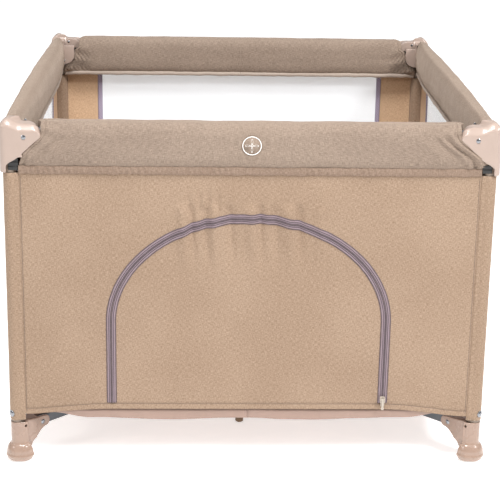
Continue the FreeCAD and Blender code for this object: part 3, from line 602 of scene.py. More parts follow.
def solid(name: str, size: Point, middle: Point, material: bpy.types.Material, edge: float,
          side: Side = Side.FRONT) -> bpy.types.Object:
    """A block with rounded edges.

    Args:
        name: name of the piece.
        size: its three sizes, in millimetres.
        middle: its middle, drawn on the front side.
        material: its material.
        edge: radius of its edges.
        side: the side of the pen it is turned to.

    Returns:
        The new object.
    """
    mesh = bmesh.new()
    bmesh.ops.create_cube(mesh, size=1.0, matrix=Matrix.Diagonal((*(part * MM for part in size), 1.0)))
    bmesh.ops.bevel(mesh, geom=mesh.edges[:], offset=edge * MM, offset_type="OFFSET", affect="EDGES",
                    segments=3, profile=0.5, material=-1)
    for vertex in mesh.verts:
        vertex.co = Vector(side.turn(tuple(vertex.co + Vector(middle) * MM)))
    return to_object(name, mesh, material)


def join_objects(name: str, parts: Sequence[bpy.types.Object]) -> bpy.types.Object:
    """Merge several new pieces of one material into one piece.

    Args:
        name: name of the merged piece.
        parts: the pieces, which are removed.

    Returns:
        The merged piece.
    """
    mesh = bmesh.new()
    material = parts[0].data.materials[0]
    for part in parts:
        mesh.from_mesh(part.data)
        bpy.data.objects.remove(part)
    return to_object(name, mesh, material)


def scale_weave(obj: bpy.types.Object, scale: tuple[float, float]) -> None:
    """Scale the weave map of a piece whose grid wasn't in millimetres."""
    for loop in obj.data.uv_layers["weave"].data:
        loop.uv = (loop.uv[0] * scale[0], loop.uv[1] * scale[1])


def weld(obj: bpy.types.Object) -> None:
    """Merge the touching edges of a piece and turn its faces outward."""
    mesh = bmesh.new()
    mesh.from_mesh(obj.data)
    bmesh.ops.remove_doubles(mesh, verts=mesh.verts, dist=0.05 * MM)
    bmesh.ops.recalc_face_normals(mesh, faces=mesh.faces)
    mesh.to_mesh(obj.data)
    mesh.free()


# ---- the front wall's surface, shared by the wall, the door and the zip -------------------------
def wall_depth(x: float, z: float, seed: float = 0.0) -> float:
    """How far the wall cloth stands out from its plane, in millimetres."""
    taut = ease(abs(x), PANEL_EDGE, PANEL_EDGE - 60)
    calm = ease(abs(z - DOOR_SILL), 2, 40)
    swell = 2.0 * taut * math.sin(math.pi * min(1.0, max(0.0, (z - PANEL_LOW) / (PANEL_HIGH - PANEL_LOW))))
    soft = 1.3 * grain(x, 0, z * 0.45, 95, 1 + seed) + 0.5 * grain(x, 0, z * 0.6, 34, 2 + seed)
    return (swell + soft * taut) * calm


DOOR_FOLDS = ((-137, 10, 1.0), (-119, 7, -0.9), (-91, 8, -0.8), (-74, 10, 1.1), (-41, 9, -1.0), (2, 13, 1.2),
              (20, 7, -0.9), (50, 9, -0.8), (78, 13, 1.1), (98, 9, -1.0), (140, 12, 0.7))
PANEL_TUCKS = ((-126, 4.5, -0.8), (-103, 4.5, -1.0), (-85, 4.0, -1.1), (-66, 4.5, -0.8), (40, 12, 0.5),
               (150, 11, 0.5))


def arch_folds(x: float, z: float) -> float:
    """Soft upright folds below the crown of the door, and short tucks above it."""
    lean = x + 0.05 * (z - 540)
    below = sum(hump(lean, at, wide) * high for at, wide, high in DOOR_FOLDS)
    above = sum(hump(x, at, wide) * high for at, wide, high in PANEL_TUCKS)
    return (5.5 * below * ease(z, 405, 505) * ease(z, 572, 548)
            + 3.2 * above * ease(z, 536, 552) * ease(z, 604, 574))


def front_depth(x: float, z: float) -> float:
    """Standing out of the front wall, folds included."""
    creases = (
        1.6 * hump(x - 0.35 * (z - 560), 262, 9) * ease(z, 520, 570) * ease(z, 630, 600)
        + 1.2 * hump(x + 0.5 * (z - 150), 405, 10) * ease(z, 260, 190)
        + 1.0 * hump(x - 0.3 * (z - 170), -420, 9) * ease(z, 300, 200)
    )
    return wall_depth(x, z) + arch_folds(x, z) + creases


def hem_droop(x: float) -> float:
    """How far the lower edge of the front wall hangs below its middle."""
    side = 17.0 if x > 0 else 12.0
    return side * ease(abs(x), DOOR_HALF + 4, PANEL_EDGE + 20)


def drooped(x: float, z: float) -> float:
    """Height of a point of the front wall once its lower part droops."""
    return z - hem_droop(x) * ease(z, 300, DOOR_SILL)


def arch_half(z: float, extra: float) -> float:
    """Half width of the door's outline at one height, with extra all round."""
    if z <= DOOR_SHOULDER:
        return DOOR_HALF + extra
    share = (z - DOOR_SHOULDER) / (DOOR_ARCH + extra)
    return (DOOR_HALF + extra) * math.sqrt(max(0.0, 1 - share * share))


def onto_arch(x: float, z: float, extra: float) -> tuple[float, float]:
    """The point of the door's outline nearest to a point beside it."""
    if z <= DOOR_SHOULDER:
        return math.copysign(DOOR_HALF + extra, x), max(z, DOOR_SILL)
    wide, high = x / (DOOR_HALF + extra), (z - DOOR_SHOULDER) / (DOOR_ARCH + extra)
    size = math.hypot(wide, high)
    return x / size, DOOR_SHOULDER + (z - DOOR_SHOULDER) / size


class ArchLine:
    """The zip's line: up the left side, over the arch and down the right side, by its length."""

    def __init__(self, extra: float, low: float) -> None:
        """Measure the line.

        Args:
            extra: how far outside the door's edge it runs.
            low: height of its two ends.
        """
        half, rise = DOOR_HALF + extra, DOOR_ARCH + extra
        points = [(-half, low)]
        for index in range(361):
            angle = math.pi - math.pi * index / 360
            points.append((half * math.cos(angle), DOOR_SHOULDER + rise * math.sin(angle)))
        points.append((half, low))
        self.points = points
        self.at = [0.0]
        for (x0, z0), (x1, z1) in zip(points, points[1:]):
            self.at.append(self.at[-1] + math.hypot(x1 - x0, z1 - z0))
        self.length = self.at[-1]

    def read(self, along: float) -> tuple[float, float, float, float]:
        """Point and outward direction at one length along the line."""
        index = min(len(self.points) - 2, max(0, bisect_left(self.at, along) - 1))
        (x0, z0), (x1, z1) = self.points[index], self.points[index + 1]
        size = self.at[index + 1] - self.at[index]
        share = (along - self.at[index]) / size
        dx, dz = (x1 - x0) / size, (z1 - z0) / size
        return x0 + (x1 - x0) * share, z0 + (z1 - z0) * share, -dz, dx


# ---- corners -----------------------------------------------------------------------------------
@dataclass
class CornerSet:
    """Cap, foot, leg, fasteners and sleeve of one corner."""

    corner: Corner
    voxel: float = 1.4

    def build(self, finishes: Finishes) -> None:
        """Build and dress the corner.

        Args:
            finishes: the pen's finishes.
        """
        label = self.corner.label
        body = f"post_{label}"
        for part, finish_of, slot in (
            ("corner_cap", finishes.cap, "cap_plastic"), ("foot", finishes.foot, "foot_plastic"),
        ):
            piece = self._soften(f"{part}_{label}", finish_of, 4 if part == "corner_cap" else 2)
            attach(piece, body)
            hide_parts(f"{part}_{label}")
        dress(f"leg_tube_{label}", finishes.leg_paint)
        dress(f"rivets_{label}", finishes.plated)
        if self.corner.value[1] < 0:
            self._guard(finishes)
        self._inner_shield(finishes)
        self._sleeve(finishes)

    def _soften(self, node: str, material: bpy.types.Material, passes: int) -> bpy.types.Object:
        """Copy a moulding with the soft edges that a mould gives it.

        Args:
            node: the CAD node.
            material: the material of the copy.
            passes: how often it is smoothed.

        Returns:
            The new object.
        """
        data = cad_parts[node].data.copy()
        mesh = bmesh.new()
        mesh.from_mesh(data)
        bmesh.ops.remove_doubles(mesh, verts=mesh.verts, dist=0.01 * MM)
        mesh.to_mesh(data)
        mesh.free()
        raw = bpy.data.objects.new("raw", data)
        bpy.context.scene.collection.objects.link(raw)
        remesh = raw.modifiers.new("voxels", "REMESH")
        remesh.mode, remesh.voxel_size = "VOXEL", self.voxel * MM
        bpy.context.view_layer.update()
        result = raw.evaluated_get(bpy.context.evaluated_depsgraph_get()).to_mesh()
        mesh = bmesh.new()
        mesh.from_mesh(result)
        bpy.data.objects.remove(raw)
        for vertex in mesh.verts:
            vertex.co = Vector(self._swell(tuple(vertex.co / MM))) * MM
        for _ in range(passes):
            bmesh.ops.smooth_vert(mesh, verts=mesh.verts, factor=0.5, use_axis_x=True, use_axis_y=True,
                                  use_axis_z=True)
        LOG.info("%s softened", node)
        return to_object(f"moulded_{node}", mesh, material)

    def _swell(self, point: Point) -> Point:
        """Round the crown of a cap and fill out the root of a foot's wing, in millimetres."""
        side_x, side_y = self.corner.value
        x, y, z = point[0] * side_x - LEG_LINE, point[1] * side_y - LEG_LINE, point[2]
        outward = max(x, y)
        front_arm = ease(-x, -4, 24) if x < y else 0.0
        lowered = z - ease(z, 690, 738) * (9 * ease(outward, 4, 20) + 10 * front_arm)
        if x < y:
            x -= 8 * ease(z, 692, 655) * ease(-x, -6, 8) * ease(y, 2, 8)
        z = lowered
        if z < 40:
            x, y = 1.06 * x, 1.06 * y
        if z < 120:
            inward, across = -(x + y) / math.sqrt(2), (x - y) / math.sqrt(2)
            across *= 1 + 0.45 * ease(inward, 6, 14) * ease(inward, 62, 20) * ease(z, 30, 45)
            x = (across * math.sqrt(2) - inward * math.sqrt(2)) / 2
            y = (-across * math.sqrt(2) - inward * math.sqrt(2)) / 2
        return (x + LEG_LINE) * side_x, (y + LEG_LINE) * side_y, z

    def _inner_shield(self, finishes: Finishes) -> None:
        """Small shield that the cap turns down inside the corner, with its two screws."""
        side_x, side_y = self.corner.value
        mesh = bmesh.new()
        outline = [(-2, 712), (40, 712), (41, 690), (39, 678), (33, 669), (24, 664), (12, 661), (-2, 661)]
        inward = 33.0 if side_y > 0 else 40.0
        depth_line = side_y * (LEG_LINE - inward) * MM
        corners = [mesh.verts.new((side_x * (LEG_LINE - along) * MM, depth_line, height * MM))
                   for along, height in outline]
        face = mesh.faces.new(corners)
        grown = bmesh.ops.extrude_face_region(mesh, geom=[face])["geom"]
        moved = [item for item in grown if isinstance(item, bmesh.types.BMVert)]
        bmesh.ops.translate(mesh, verts=moved, vec=(0, -side_y * 6 * MM, 0))
        bmesh.ops.recalc_face_normals(mesh, faces=mesh.faces)
        bmesh.ops.bevel(mesh, geom=mesh.edges[:], offset=1.6 * MM, offset_type="OFFSET", affect="EDGES",
                        segments=3, profile=0.5, material=-1)
        shield = to_object(f"cap_inner_shield_{self.corner.label}", mesh, finishes.cap)
        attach(shield, f"post_{self.corner.label}")
        screws = bmesh.new()
        for along, height, depth in ((13, 671, inward + 6.4), (26, 722, inward + 5.0)):
            seat = Vector((side_x * (LEG_LINE - along), side_y * (LEG_LINE - depth), height))
            spot = Matrix.Translation(seat * MM)
            bmesh.ops.create_uvsphere(screws, u_segments=20, v_segments=10, radius=3.2 * MM,
                                      matrix=spot @ Matrix.Diagonal((1, 0.35, 1, 1)))
        heads = to_object(f"cap_inner_screws_{self.corner.label}", screws, finishes.plated)
        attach(heads, f"post_{self.corner.label}")

    def _guard(self, finishes: Finishes) -> None:
        """Black ribbed web inside the gap under a front cap."""
        hand = self.corner.value[0]
        middle_x, middle_y = hand * (LEG_LINE - 7), -(WALL_LINE - 2)
        web = solid("web", (21, 10, 46), (middle_x, middle_y, COVER_LOW + 20), finishes.black, 2.0)
        ribs = [solid("rib", (19, 2.4, 3), (middle_x, middle_y - 5.4, COVER_LOW + 4 + 9 * index),
                      finishes.black, 0.8) for index in range(4)]
        guard = join_objects(f"corner_guard_{self.corner.label}", [web, *ribs])
        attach(guard, f"post_{self.corner.label}")

    def _sleeve(self, finishes: Finishes) -> None:
        """Cloth sleeve round the leg, with the two ridges where the walls are sewn to it."""
        side_x, side_y = self.corner.value
        low, high = 93.0, COVER_LOW - 8
        front = side_y < 0

        def place(around: float, height: float) -> Point:
            angle = math.radians(around)
            seam_front = hump((around + 32 + 180) % 360 - 180, 0, 15)
            seam_side = hump((around - 122 + 180) % 360 - 180, 0, 15)
            loose = ease(height, 260, 100) + 0.5 * ease(height, 560, 620)
            twist = around + 0.35 * height * side_x
            fold = 0.6 * grain(twist * 0.3, height * 0.22, 0, 11, 3 + side_x) * (0.5 + 1.6 * loose)
            creep = 0.5 * math.sin(math.radians(3 * around + 1.1 * height)) * loose
            radius = 14.7 + 5.4 * seam_front + 5.4 * seam_side * (1 if front else 0.9) + fold + creep
            radius = max(radius, 14.25)
            x, y = radius * math.cos(angle), radius * math.sin(angle)
            return side_x * (LEG_LINE - x), side_y * (LEG_LINE - y), height

        sleeve = Cloth(f"leg_sleeve_{self.corner.label}", steps(0, 360, 5), steps(low, high, 6), place,
                       closed=True, thick=0.8)
        piece = sleeve.build(finishes.wall)
        scale_weave(piece, (0.3, 1.0))
        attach(piece, f"post_{self.corner.label}")
        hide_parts("front_panel" if front else "mesh_wall_back")


def dress(node: str, material: bpy.types.Material) -> None:
    """Give a CAD node its finish."""
    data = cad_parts[node].data
    data.materials.clear()
    data.materials.append(material)


# ---- rail covers -------------------------------------------------------------------------------
class Outline:
    """Section across a rail cover: a rounded, slightly crowned block, read by its length."""

    def __init__(self) -> None:
        """Measure the section, starting at the seam under its outer face."""
        self.middle = (COVER_OUTER - LEG_LINE - (COVER_OUTER - COVER_INNER) / 2, (COVER_LOW + COVER_HIGH) / 2)
        wide, high = (COVER_OUTER - COVER_INNER) / 2, (COVER_HIGH - COVER_LOW) / 2
        points = []
        for index in range(721):
            angle = 2 * math.pi * index / 720 - 0.75 * math.pi
            across, up = math.cos(angle), math.sin(angle)
            points.append((
                -wide * math.copysign(abs(across) ** (2 / 3.6), across) * -1,
                high * math.copysign(abs(up) ** (2 / 3.2), up),
            ))
        self.points = points
        self.at = [0.0]
        for (x0, z0), (x1, z1) in zip(points, points[1:]):
            self.at.append(self.at[-1] + math.hypot(x1 - x0, z1 - z0))
        self.length = self.at[-1]

    def read(self, along: float, out: float, shrink: float) -> tuple[float, float]:
        """Depth inward from the outer face line and height of a point.

        Args:
            along: length round the section from the seam.
            out: how far the point stands out of the section.
            shrink: share of the size that is kept, for the turned-in ends.

        Returns:
            The distance of the point from the leg line, inward, and its height, in millimetres.
        """
        index = min(len(self.points) - 2, max(0, bisect_left(self.at, along) - 1))
        (x0, z0), (x1, z1) = self.points[index], self.points[index + 1]
        size = max(1e-9, self.at[index + 1] - self.at[index])
        share = (along - self.at[index]) / size
        dx, dz = (x1 - x0) / size, (z1 - z0) / size
        across = (x0 + (x1 - x0) * share) * shrink + dz * out
        up = (z0 + (z1 - z0) * share) * shrink - dx * out
        return across - self.middle[0], up + self.middle[1]


LONG_END = ((637, 17), (645, 19), (655, 22), (668, 26), (680, 35), (690, 47), (700, 57), (712, 63), (735, 63))
DRAPED_END = ((637, 4), (655, 8), (668, 16), (680, 30), (690, 44), (700, 56), (712, 63), (735, 63))
SHORT_END = ((637, 6), (655, 6), (668, 12), (680, 19), (690, 25), (704, 28), (735, 28.5))
LONG_INNER = ((637, 10), (655, 14), (664, 26), (672, 38), (702, 42), (707, 52), (735, 53))
SHORT_INNER = ((637, 39), (735, 39))


@dataclass
class RailCover:
    """Padded cover of half a top rail."""

    side: Side
    hand: int
    outline: Outline

    def _start(self, inward: float, height: float) -> float:
        """Distance from the leg axis to the end of the cover, at one point of its section."""
        long = self.side in (Side.FRONT, Side.BACK)
        draped = self.side is Side.FRONT and self.hand > 0
        outer = between(DRAPED_END if draped else LONG_END if long else SHORT_END, height)
        inner = between(LONG_INNER if long else SHORT_INNER, height)
        share = ease(inward, 2, 30)
        return outer + (inner - outer) * share

    def _stand_out(self, x: float, inward: float, height: float, start: float) -> float:
        """Puffing, wrinkles and puckers of the padding."""
        seed = 11 * self.side.value
        away = abs(LEG_LINE - abs(x)) - start
        puff = 1.1 * grain(x, inward, height, 88, seed + 1) + 0.55 * grain(x, inward, height, 30, seed + 2)
        long_fold = 0.7 * grain(x * 0.16, inward, height, 17, seed + 3)
        near = ease(away, 78, 4)
        pucker = near * 1.1 * math.sin(0.24 * (height * 0.9 + inward) + 0.07 * away + seed)
        gather = near * 0.9 * math.sin(0.33 * away + 0.12 * height)
        slack = -2.0 * ease(away, 6, 0) - 1.9 * hump(away, 9.5, 1.3) * ease(height, 644, 652)
        badge = 0.0
        if self.side is Side.FRONT and inward < 0:
            badge = math.exp(-((math.hypot(x, height - (EMBLEM_BOX[0].z + EMBLEM_BOX[1].z) / 2) / 30) ** 4))
        total = puff + long_fold + pucker + gather * ease(height, 700, 660) + slack
        if self.side is Side.BACK and inward > 12:
            total += self._tucks(LEG_LINE - abs(x), height)
        if self.side is Side.FRONT and inward < 0:
            total += self._drape(away, height)
        return (total - 0.6) * (1 - badge) - 0.1 * badge

    def _tucks(self, from_leg: float, height: float) -> float:
        """Close slanting tucks under the shield of a back cap."""
        fan = from_leg - 0.8 * (700 - height)
        deep = ease(from_leg, 100, 62) * ease(height, 640, 650) * ease(height, 712, 676)
        return 2.1 * deep * math.sin(2 * math.pi * fan / 10.5) - 1.6 * deep

    def _drape(self, away: float, height: float) -> float:
        """Upright folds where the cover sags beside a front cap."""
        drop = height - COVER_LOW
        fade = ease(height, 728, 700) * ease(height, 640, 655)
        if self.hand > 0:
            folds = (4.0 * hump(away - 0.10 * drop, 12, 6) - 3.2 * hump(away - 0.16 * drop, 24, 6)
                     + 2.6 * hump(away - 0.05 * drop, 38, 8) - 1.8 * hump(away, 56, 9)
                     + 1.4 * hump(away + 0.1 * drop, 92, 10))
        else:
            folds = (1.8 * hump(away - 0.12 * drop, 22, 6) - 1.6 * hump(away - 0.2 * drop, 34, 7)
                     + 1.2 * hump(away + 0.1 * drop, 60, 10))
        return folds * fade

    def _settled(self, x: float, inward: float, height: float) -> tuple[float, float]:
        """Let a side cover crown along its length and thin out towards its back end."""
        if self.side in (Side.FRONT, Side.BACK):
            return inward, height
        to_back = LEG_LINE + (x if self.side is Side.LEFT else -x)
        crown = math.sin(math.pi * min(1.0, max(0.0, to_back / (2 * LEG_LINE))))
        inner = ease(inward, -4, COVER_OUTER - COVER_INNER - 24)
        thin = 12 + 9 * ease(to_back, 230, 10) + 4 * ease(to_back, 600, 900)
        raised = height + 5 * crown * ease(height, 660, COVER_HIGH) + 7 * inner * ease(height, 700, 640)
        return inward - thin * inner - 4 * crown * ease(inward, 10, -18), raised

    def build(self, finishes: Finishes) -> None:
        """Build the cover half.

        Args:
            finishes: the pen's finishes.
        """
        end = rail_ends(self.side)[0 if self.hand < 0 else 1]
        half = self.outline.length

        def place(along: float, around: float) -> Point:
            inward, height = self.outline.read(around, 0.0, 1.0)
            start = self._start(inward, height)
            tuck = max(0.0, -along)
            share = min(1.0, max(0.0, along) / LEG_LINE)
            past = max(0.0, along - LEG_LINE)
            x = (LEG_LINE - start) * (1 - share) - past
            out = self._stand_out(self.hand * x, inward, height, start) - 0.06 * past * past
            shrink = 1.0 - 0.03 * tuck
            inward, height = self.outline.read(around, out * min(1.0, shrink + 0.2), shrink)
            inward, height = self._settled(self.hand * x, inward, height)
            return self.hand * (x - 0.35 * tuck), -LEG_LINE + inward, height

        columns = [-20.0, -13.0, -8.0, -4.0, -1.5, 0.0, 2.0, 4.0, 6.0, 7.5, 8.6, 9.7, 10.8, 12.0,
                   *steps(13.5, 75.0, 2.0), *steps(79.0, LEG_LINE, 4.5), LEG_LINE + 1.5, LEG_LINE + 3.0]
        piece = Cloth(f"rail_cover_{self.side.label}_{end}", columns, steps(0, half, 3.4), place, self.side,
                      closed=True, filled=True).build(finishes.cover)
        piping = self._piping(f"cover_piping_{self.side.label}_{end}").build(finishes.piping)
        edge = 1.0 if self.hand > 0 else -1.0
        begin = Vector(self.side.turn((edge * 70, -LEG_LINE, COVER_HIGH))) * MM
        stop = Vector(self.side.turn((edge * 6, -LEG_LINE, COVER_HIGH))) * MM
        for made in (piece, piping):
            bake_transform(made)
            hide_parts(f"rail_cover_{self.side.label}")

    def _piping(self, name: str) -> Cloth:
        """Rolled hem along the lower inner edge of the cover."""
        seed = 7 * self.side.value + self.hand

        def place(along: float, around: float) -> Point:
            x, angle = self.hand * (LEG_LINE - 14 - along), math.radians(around)
            curl = 9 * ease(along, 30, 0)
            radius = 3.6 + 0.7 * grain(x, 0, 0, 8, seed)
            inward, height = self._settled(x, 27.0, COVER_LOW + 2)
            inward += 0.8 * grain(x, 3, 0, 18, seed) - curl + radius * math.cos(angle)
            height += -1.0 + 1.2 * grain(x, 7, 0, 30, seed) - 0.4 * curl + 1.5 * radius * math.sin(angle)
            return x, -LEG_LINE + inward, height

        return Cloth(name, steps(0, LEG_LINE - 14, 3.0), steps(0, 360, 30), place, self.side,
                     closed=True, filled=True)


def rail_ends(side: Side) -> tuple[str, str]:
    """Words for the two halves of a side's rail, the one on its left end first, seen from outside."""
    return {Side.FRONT: ("left", "right"), Side.RIGHT: ("front", "back"), Side.BACK: ("right", "left"),
            Side.LEFT: ("back", "front")}[side]


def gather_wall(piece: bpy.types.Object, side: Side) -> None:
    """Let a piece of a wall ride on its post.

    Args:
        piece: the finished piece.
        side: the side of the pen it belongs to.
    """
    line = LEG_LINE * MM
    body, axis, anchor = {
        Side.FRONT: ("post_front_left", (1, 0, 0), (-line, 0, 0)),
        Side.RIGHT: ("post_front_right", (0, 1, 0), (0, -line, 0)),
        Side.BACK: ("post_back_left", (1, 0, 0), (-line, 0, 0)),
        Side.LEFT: ("post_front_left", (0, 1, 0), (0, -line, 0)),
    }[side]
    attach(piece, body)
    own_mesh(piece)


def gather_door(piece: bpy.types.Object) -> None:
    """Let a piece of the door ride on its flap."""
    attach(piece, "door")
    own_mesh(piece)


# ---- stitching and bindings --------------------------------------------------------------------
def stitch_row(name: str, path: Callable[[float], tuple[Point, Point]], length: float, side: Side,
               pitch: float = 4.2, width: float = 0.9, high: float = 0.5) -> Cloth:
    """A row of lockstitches that lies on cloth.

    Args:
        name: name of the piece.
        path: gives the point and the sideways direction at one length along the row.
        length: length of the row, in millimetres.
        side: the side of the pen it is turned to.
        pitch: length of one stitch and the gap after it.
        width: width of the thread as it lies.
        high: how far a stitch stands out of the cloth.

    Returns:
        The grid of the row.
    """

    def place(along: float, across: float) -> Point:
        (x, y, z), (dx, dy, dz) = path(along)
        up = math.sin(math.pi * along / pitch)
        lift = high * (abs(up) ** 0.5) * (1 - (2 * across / width) ** 2) - 0.25
        return x + dx * across, y + dy * across - lift, z + dz * across

    return Cloth(name, steps(0, length, pitch / 4), [-width / 2, 0.0, width / 2], place, side)


@dataclass
class TopBinding:
    """Gathered binding along the top edge of a wall, just under the rail cover."""

    side: Side
    low: float = 627.0
    high: float = 644.0
    half_depth: float = 3.0

    def build(self, finishes: Finishes) -> None:
        """Build the binding.

        Args:
            finishes: the pen's finishes.
        """
        seed = 5 * self.side.value
        middle, rise = (self.low + self.high) / 2, (self.high - self.low) / 2

        def place(x: float, around: float) -> Point:
            angle = math.radians(around)
            twist = 2 * math.pi * x / 12.5 + 2.4 * grain(x, 0, 0, 45, seed + 1) + 1.7 * math.sin(angle)
            bulge = grain(x, 7 * math.cos(angle), 7 * math.sin(angle), 9, seed + 2)
            gather = 0.9 * math.sin(twist) * (0.7 + grain(x, 0, 0, 60, seed + 4)) + 0.8 * bulge
            up = rise + 1.8 * grain(x, 4, 0, 22, seed + 3)
            depth = self.half_depth + gather
            y = -WALL_LINE - 1.4 - depth * math.copysign(abs(math.cos(angle)) ** 0.6, math.cos(angle))
            z = middle + up * math.copysign(abs(math.sin(angle)) ** 0.7, math.sin(angle))
            return x, y, z

        edge = PANEL_EDGE - 1
        piece = Cloth(f"top_binding_{self.side.label}", steps(-edge, edge, 2.2), steps(0, 360, 22.5), place,
                      self.side, closed=True, filled=True).build(finishes.binding)
        scale_weave(piece, (1.0, 0.09))
        gather_wall(piece, self.side)


# ---- front wall --------------------------------------------------------------------------------
@dataclass
class FrontWall:
    """Front wall of full cloth with its arched zip door."""

    pitch: float = 5.0
    tape_width: float = 10.2

    def build(self, finishes: Finishes) -> None:
        """Build the wall, the door, the zip and the seams.

        Args:
            finishes: the pen's finishes.
        """
        self._wall(finishes)
        self._door(finishes)
        self._zip(finishes)
        self._seams(finishes)
        TopBinding(Side.FRONT).build(finishes)
        for node in ("zip_stop", "zip_slider", "zip_pull"):
            dress(node, finishes.enamel)

    def _columns(self) -> list[float]:
        """Columns of the grid, with one on each seam beside the sleeves."""
        return [-PANEL_EDGE, -PANEL_EDGE + 2, *steps(-PANEL_EDGE + 5, -160, self.pitch),
                *steps(-157.5, 157.5, 2.5), *steps(160, PANEL_EDGE - 5, self.pitch),
                PANEL_EDGE - 2, PANEL_EDGE]

    def _rows(self, low: float) -> list[float]:
        """Rows of the grid from one height up, with some on the hem seam."""
        rows = [PANEL_LOW, PANEL_LOW + 2, PANEL_LOW + 6, DOOR_SILL - 3.5, DOOR_SILL - 1.2, DOOR_SILL,
                DOOR_SILL + 1.2, DOOR_SILL + 3.5, *steps(DOOR_SILL + 8, PANEL_HIGH, self.pitch)]
        return [row for row in rows if row >= low - 0.01]

    def _surface(self, x: float, z: float) -> Point:
        """Point of the cloth that is at x and z before the hem droops."""
        seam = 1.1 * hump(z, DOOR_SILL, 1.6)
        edge_seam = 1.0 * hump(abs(x), PANEL_EDGE - 1, 1.6)
        lip = 0.8 * hump(z, PANEL_LOW, 3.0)
        droop_fold = 1.4 * ease(abs(x), 360, 440) * grain(x, 0, z, 26, 9) * ease(z, 220, 130)
        out = front_depth(x, z) * ease(z, 636, 604) - seam - edge_seam + lip + droop_fold
        return x, -WALL_LINE - out, drooped(x, z)

    def _wall(self, finishes: Finishes) -> None:
        """The wall round the door."""
        rim = 1.2

        def keep(x: float, z: float) -> bool:
            return z < DOOR_SILL - 0.2 or z > DOOR_CROWN + rim or abs(x) > arch_half(z, rim)

        wall = Cloth("front_wall", self._columns(), self._rows(PANEL_LOW), self._surface,
                     keep=keep, snap=lambda x, z: self._snap(x, z, rim), thick=1.0)
        piece = wall.build(finishes.wall)
        gather_wall(piece, Side.FRONT)
        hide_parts("front_panel")

    def _snap(self, x: float, z: float, extra: float) -> tuple[float, float]:
        """Where a point on the ragged rim of the door's outline goes."""
        if z <= DOOR_SILL + 0.01 and abs(x) < DOOR_HALF + extra - 3:
            return x, DOOR_SILL
        return onto_arch(x, z, extra)

    def _door(self, finishes: Finishes) -> None:
        """The arched flap that hangs on the sill."""

        def keep(x: float, z: float) -> bool:
            return z < DOOR_CROWN - 1 and abs(x) < arch_half(z, 0.0)

        door = Cloth("door_flap_cloth", self._columns(), self._rows(DOOR_SILL), self._surface,
                     keep=keep, snap=lambda x, z: self._snap(x, z, 0.0), thick=1.0)
        piece = door.build(finishes.wall)
        gather_door(piece)
        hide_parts("door_flap")

    def _zip(self, finishes: Finishes) -> None:
        """The two tapes, the two halves of the coil and the stitching on each tape."""
        line = ArchLine(1.0, DOOR_SILL + 1.5)
        for half, sign, node in (("panel", 1, "zip_tape_panel"), ("flap", -1, "zip_tape_flap")):
            tape = self._strip(f"zip_tape_{half}_cloth", line, 0.2 * sign, self.tape_width * sign, 1.25, 0.35)
            piece = tape.build(finishes.zip_tape)
            coil = self._coil(f"zip_coil_{half}", line, sign).build(finishes.zip_coil)
            row = self._row(f"zip_stitches_{half}", line, sign * (self.tape_width - 2.4)).build(finishes.seam)
            for made in (piece, coil, row):
                if sign > 0:
                    gather_wall(made, Side.FRONT)
                else:
                    gather_door(made)
            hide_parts(node)

    def _strip(self, name: str, line: ArchLine, inner: float, outer: float, out: float,
               crown: float) -> Cloth:
        """A ribbon that follows the zip's line.

        Args:
            name: name of the piece.
            line: the zip's line.
            inner: offset of its edge at the coil.
            outer: offset of its other edge.
            out: how far it lies out of the wall.
            crown: how much further out its middle is.

        Returns:
            The grid of the ribbon.
        """
        across = [inner + (outer - inner) * share for share in (0.0, 0.15, 0.35, 0.6, 0.85, 1.0)]

        def place(along: float, offset: float) -> Point:
            x, z, nx, nz = line.read(along)
            share = (offset - inner) / (outer - inner)
            x, z = x + nx * offset, z + nz * offset
            wave = 0.35 * grain(along, offset, 0, 15, 4)
            rise = out + crown * math.sin(math.pi * share) + wave
            return x, -WALL_LINE - front_depth(x, z) - rise, z

        return Cloth(name, steps(0, line.length, 3.5), across, place, thick=0.5)

    def _coil(self, name: str, line: ArchLine, sign: int) -> Cloth:
        """Half of the nylon coil, a ribbed bead along the edge of its tape."""
        across = [sign * part for part in (0.1, 0.7, 1.4, 2.1)]

        def place(along: float, offset: float) -> Point:
            x, z, nx, nz = line.read(along)
            x, z = x + nx * offset, z + nz * offset
            tooth = 0.35 * math.cos(2 * math.pi * along / 2.4)
            rise = 1.9 + 0.9 * math.sqrt(max(0.0, 1 - ((abs(offset) - 0.7) / 1.5) ** 2)) + tooth
            return x, -WALL_LINE - front_depth(x, z) - rise, z

        return Cloth(name, steps(0, line.length, 0.8), across, place)

    def _row(self, name: str, line: ArchLine, offset: float) -> Cloth:
        """Stitching that holds a tape to its cloth."""

        def path(along: float) -> tuple[Point, Point]:
            x, z, nx, nz = line.read(along)
            x, z = x + nx * offset, z + nz * offset
            return (x, -WALL_LINE - front_depth(x, z) - 1.8, z), (nx, 0.0, nz)

        return stitch_row(name, path, line.length, Side.FRONT)

    def _seams(self, finishes: Finishes) -> None:
        """Stitching along the hem and beside the sleeves."""
        edge = PANEL_EDGE - 3

        def hem(along: float) -> tuple[Point, Point]:
            x = along - edge
            x0, y, z = self._surface(x, DOOR_SILL - 1.6)
            return (x0, y - 0.9, z), (0.0, 0.0, 1.0)

        row = stitch_row("hem_stitches", hem, 2 * edge, Side.FRONT).build(finishes.seam)
        gather_wall(row, Side.FRONT)
        for hand, word in ((-1, "left"), (1, "right")):

            def upright(along: float, hand: int = hand) -> tuple[Point, Point]:
                x, y, z = self._surface(hand * (PANEL_EDGE - 4.2), PANEL_LOW + 6 + along)
                return (x, y - 0.8, z), (1.0, 0.0, 0.0)

            row = stitch_row(f"sleeve_stitches_{word}", upright, PANEL_HIGH - PANEL_LOW - 22,
                             Side.FRONT).build(finishes.seam)
            gather_wall(row, Side.FRONT)


